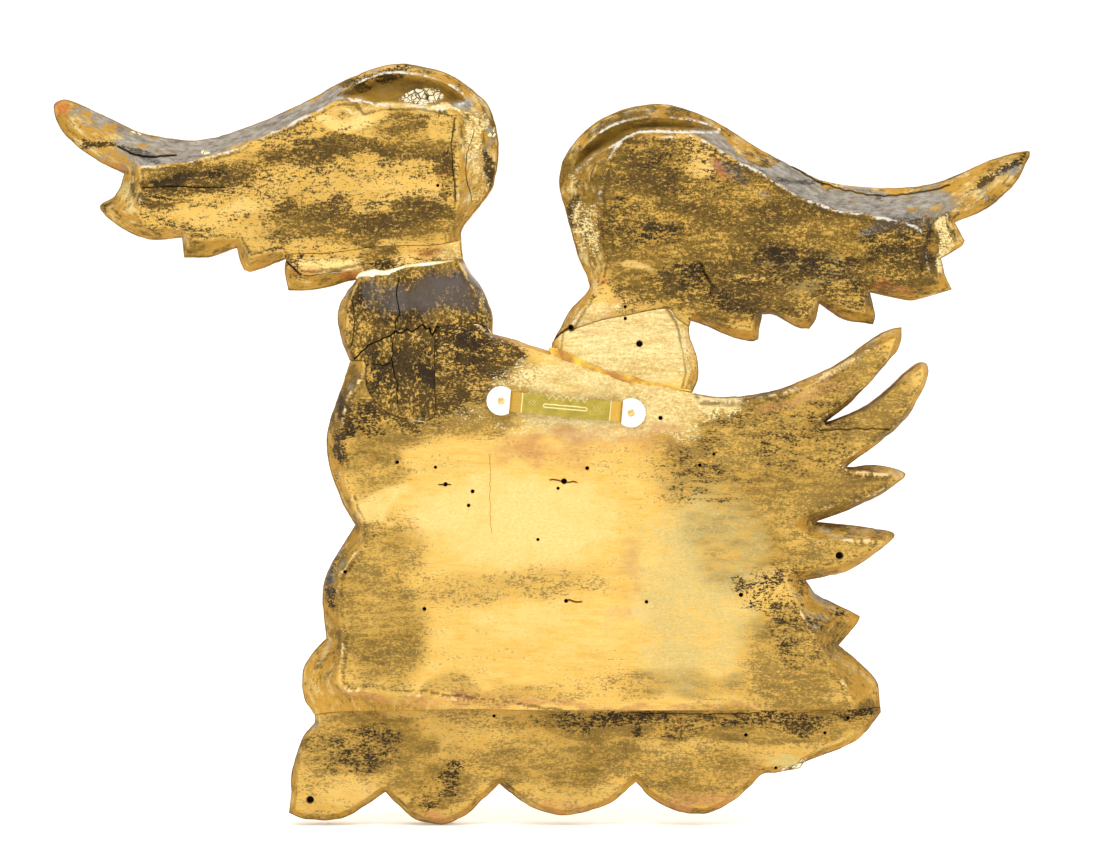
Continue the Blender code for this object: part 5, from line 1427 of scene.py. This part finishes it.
def hangerNail(name, side):
    # A profile of radius and depth turned round the nail's line; the head is a flattened dome
    at = hangerPoint(np.array([(side * nailPlace, 0.0)]))[0]
    crown = plateFace - hanger["plateThick"] - hanger["plateDome"] - jointGap * 1000
    head, shank, length = hanger["headRadius"], hanger["shank"], hanger["nailLength"]
    edge = hanger["headEdge"]
    arc = np.linspace(0.12, 1, 9) * math.pi / 2
    profile = [(head * math.sin(a), crown - edge - (hanger["headRise"] - edge) * math.cos(a)) for a in arc]
    profile += [(head, crown), (shank, crown), (shank, length - 2), (0.15, length)]
    radius, depth = np.array(profile).T[:, :, None] / 1000
    rim = circle(40)
    return closedGrid(name, np.stack([at[0] + radius * rim[:, 0], np.repeat(-depth, 40, axis=1),
                                      at[1] + radius * rim[:, 1]], axis=-1))


def glueBead(name, path, halves, rises, depths):
    # A squeezed-out bead: half ellipses carried along a path, lumpy, narrow at both ends
    knots = np.linspace(0, 1, len(path))
    line = divide(smooth(path, 1.2), 1.2)
    lengths = np.concatenate([[0], np.cumsum(np.hypot(*np.diff(line, axis=0).T))])
    share = lengths / lengths[-1]
    near = np.array([share[np.hypot(*(line - p).T).argmin()] for p in np.array(path, float)])
    half, rise, depth = (np.interp(share, near, values) for values in (halves, rises, depths))
    lumps = unevenness(line, 9, 9, 3, 71)
    half, rise = half * (1 + 0.9 * lumps), rise * (1 + 0.8 * unevenness(line, 7, 7, 3, 73))
    c, s = circle(28).T
    across = line[:, None] + sideways(np.gradient(line, axis=0))[:, None] * (half[:, None] * c)[..., None]
    wobble = 1 + 0.5 * unevenness(across.reshape(-1, 2), 5, 5, 3, 79).reshape(across.shape[:2])
    lift = rise[:, None] * np.sign(s) * np.abs(s)**0.8 * wobble
    at = world(across.reshape(-1, 2)).reshape(*across.shape)
    return closedGrid(name, np.stack([at[..., 0], -(depth[:, None] - lift) / 1000, at[..., 1]], axis=-1), 60)


def sheetBrass():
    # Pressed brass sheet, rolled: olive-gold metal with fine lines along the strip, dull finger marks,
    # and bright rubbed lines where it is bent or pressed out
    material, put = started("pressed sheet brass")
    here = put("TexCoord", out=3)
    rolled = pattern(put, here, (0.04, 1, 1), 2600, 3, 0.6, 1.0)
    marks = pattern(put, here, (1, 1, 1), 160, 5, 0.6, 2.0)
    base = put("Mix", blend(put, (0.6, marks), (0.2, rolled)), linear("#BFA94E"), linear("#8F8036"), **tint)
    for key, colour in (("golden", "#C8A048"), ("bright", "#FFF3B8")):
        base = put("Mix", put("Attribute", attribute_name=key, out=2), base, linear(colour), **tint)
    return surfaced(material, {
        "Base Color": base, "Metallic": 1.0, "Roughness": put("MapRange", marks, 0, 1, 0.26, 0.44),
        "Normal": put("Bump", 0.25, 0.00005, rolled)})


def plain(name, one, other, scale, roughness, ior=1.5, metallic=0.0, bumpDepth=0.0001):
    # A smooth finish whose colour wanders between two tones, with slight unevenness
    material, put = started(name)
    cloud = pattern(put, put("TexCoord", out=3), (1, 1, 1), scale, 5, 0.6, 3.0)
    return surfaced(material, {
        "Base Color": put("Mix", cloud, linear(one), linear(other), **tint), "IOR": ior, "Metallic": metallic,
        "Roughness": put("MapRange", cloud, 0, 1, roughness, roughness + 0.15),
        "Normal": put("Bump", 0.4, bumpDepth, cloud)})


brass = sheetBrass()
nailBrass = plain("brass plated nail", "#E6CD8A", "#C9A75A", 700, 0.22, metallic=1.0)
platePlastic = plain("white moulded plastic", "#F7F7F4", "#ECECE6", 400, 0.30, 1.46)
whiteGlue = plain("dried white glue", "#F1EEE0", "#D6CB94", 110, 0.35, 1.47, bumpDepth=0.0004)
amberGlue = plain("dried amber glue", "#F2C840", "#A8701C", 120, 0.22, 1.5, bumpDepth=0.0004)

place(hangerStrip(), brass, "brass_sheet", "hanger_strip")
for label, side in (("left", -1), ("right", 1)):
    place(hangerPlate("plate_" + label, side), platePlastic, "white_plastic", "hanger_plate_" + label)
    place(hangerNail("nail_" + label, side), nailBrass, "brass_nail", "hanger_nail_" + label)
print("hanger made")

# Beads of glue squeezed out of two joints: path on the drawing, half width there, rise and depth in mm
whiteBead = {"path": [(357, 279), (362, 276), (372, 275), (387, 274.5), (408, 268.5), (432, 265), (459, 263)],
             "halves": [1.0, 2.8, 4.8, 3.6, 2.8, 2.4, 2.0], "rises": [0.8, 2.2, 3.0, 2.4, 2.0, 2.0, 1.4],
             "depths": [9.5, 8.6, 7.9, 7.4, 7.4, 7.4, 8.0]}
amberBead = {"path": [(549, 349), (556, 353), (567, 357.5), (586, 366), (607, 374), (629, 380), (660, 386.5), (690, 391)],
             "halves": [1.6, 4.4, 4.8, 3.2, 3.2, 4.0, 2.0, 1.0], "rises": [0.7, 1.8, 2.2, 1.5, 1.4, 1.7, 0.9, 0.4],
             "depths": [5.9, 5.6, 5.5, 5.5, 5.5, 5.5, 5.6, 5.8]}
for name, bead, material, slotName in (("white_glue_bead", whiteBead, whiteGlue, "white_plastic"),
                                       ("amber_glue_bead", amberBead, amberGlue, "cream_wood")):
    item = glueBead(name, **bead)
    item.data.materials.append(material)
    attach(item, "root")
print("glue beads made")

studio = {
    "floor": -0.2394,     # m, just under the scallops
    "flatRadius": 1.5, "coveRadius": 1.6, "wallHeight": 2.6, "glow": 0.22,
    "lens": 100.0, "sensor": 36.0, "distance": 1.732, "frameCentre": (550.0, 429.5)}


def cove():
    # A round floor that turns up into a wall: a profile of radius and height turned round the middle
    bend = np.linspace(0, math.pi / 2, 16)
    flat, curve, sides = studio["flatRadius"], studio["coveRadius"], 96
    radius = np.concatenate([[0.4, 1.2], flat + curve * np.sin(bend), [flat + curve]])
    height = np.concatenate([[0, 0], curve * (1 - np.cos(bend)), [studio["wallHeight"]]]) + studio["floor"]
    drawn = radius[:, None, None] * circle(sides)
    points = np.concatenate([drawn, np.repeat(height[:, None, None], sides, axis=1)], axis=-1).reshape(-1, 3)
    index = np.arange(len(points)).reshape(-1, sides)
    fan = np.stack([np.full(sides, len(points)), index[0], np.roll(index[0], -1)], axis=1)
    verts = np.vstack([points, (0, 0, studio["floor"])])
    item = meshFrom("backdrop", verts, fan, ringQuads(index)[:, ::-1], sharp=80)
    paper = started("white paper")[0]
    item.data.materials.append(surfaced(paper, {
        "Base Color": linear("#F8F7F3"), "Roughness": 0.9, "Emission Color": linear("#FFFFFF"),
        "Emission Strength": studio["glow"]}))


def softbox(name, at, aim, size, power, colour):
    # A square area light aimed at a point
    light = bpy.data.lights.new(name, "AREA")
    light.shape = "SQUARE"
    light.size, light.energy, light.color = size, power, linear(colour)[:3]
    item = bpy.data.objects.new(name, light)
    bpy.context.scene.collection.objects.link(item)
    item.location = at
    item.rotation_euler = (Vector(aim) - Vector(at)).to_track_quat("-Z", "Y").to_euler()


cove()
softbox("key", (0.3, 1.2, 2.1), (0, 0, -0.05), 1.1, 25, "#FFFDF8")
softbox("fill", (-1.6, 1.9, 0.3), (0, 0, -0.05), 1.4, 7, "#FFFFFF")
softbox("top", (0.0, 0.1, 1.9), (0, 0, 0), 1.6, 16, "#FFFFFF")
softbox("front", (-0.9, -1.7, 1.2), (0, 0, -0.05), 1.3, 18, "#FFFDF8")
sky = bpy.data.worlds.new("studio")
sky.use_nodes = True
sky.node_tree.nodes["Background"].inputs["Color"].default_value = linear("#FFFFFF")
sky.node_tree.nodes["Background"].inputs["Strength"].default_value = 0.34
bpy.context.scene.world = sky
bpy.context.scene.view_settings.view_transform = "Standard"

lens = bpy.data.cameras.new("camera")
lens.lens, lens.sensor_width = studio["lens"], studio["sensor"]
lens.clip_start, lens.clip_end = 0.05, 20
camera = bpy.data.objects.new("camera", lens)
bpy.context.scene.collection.objects.link(camera)
aim = world([studio["frameCentre"]])[0]
camera.location = (aim[0], studio["distance"], aim[1])
camera.rotation_euler = (math.pi / 2, 0, math.pi)
bpy.context.scene.camera = camera

print("scene ready")
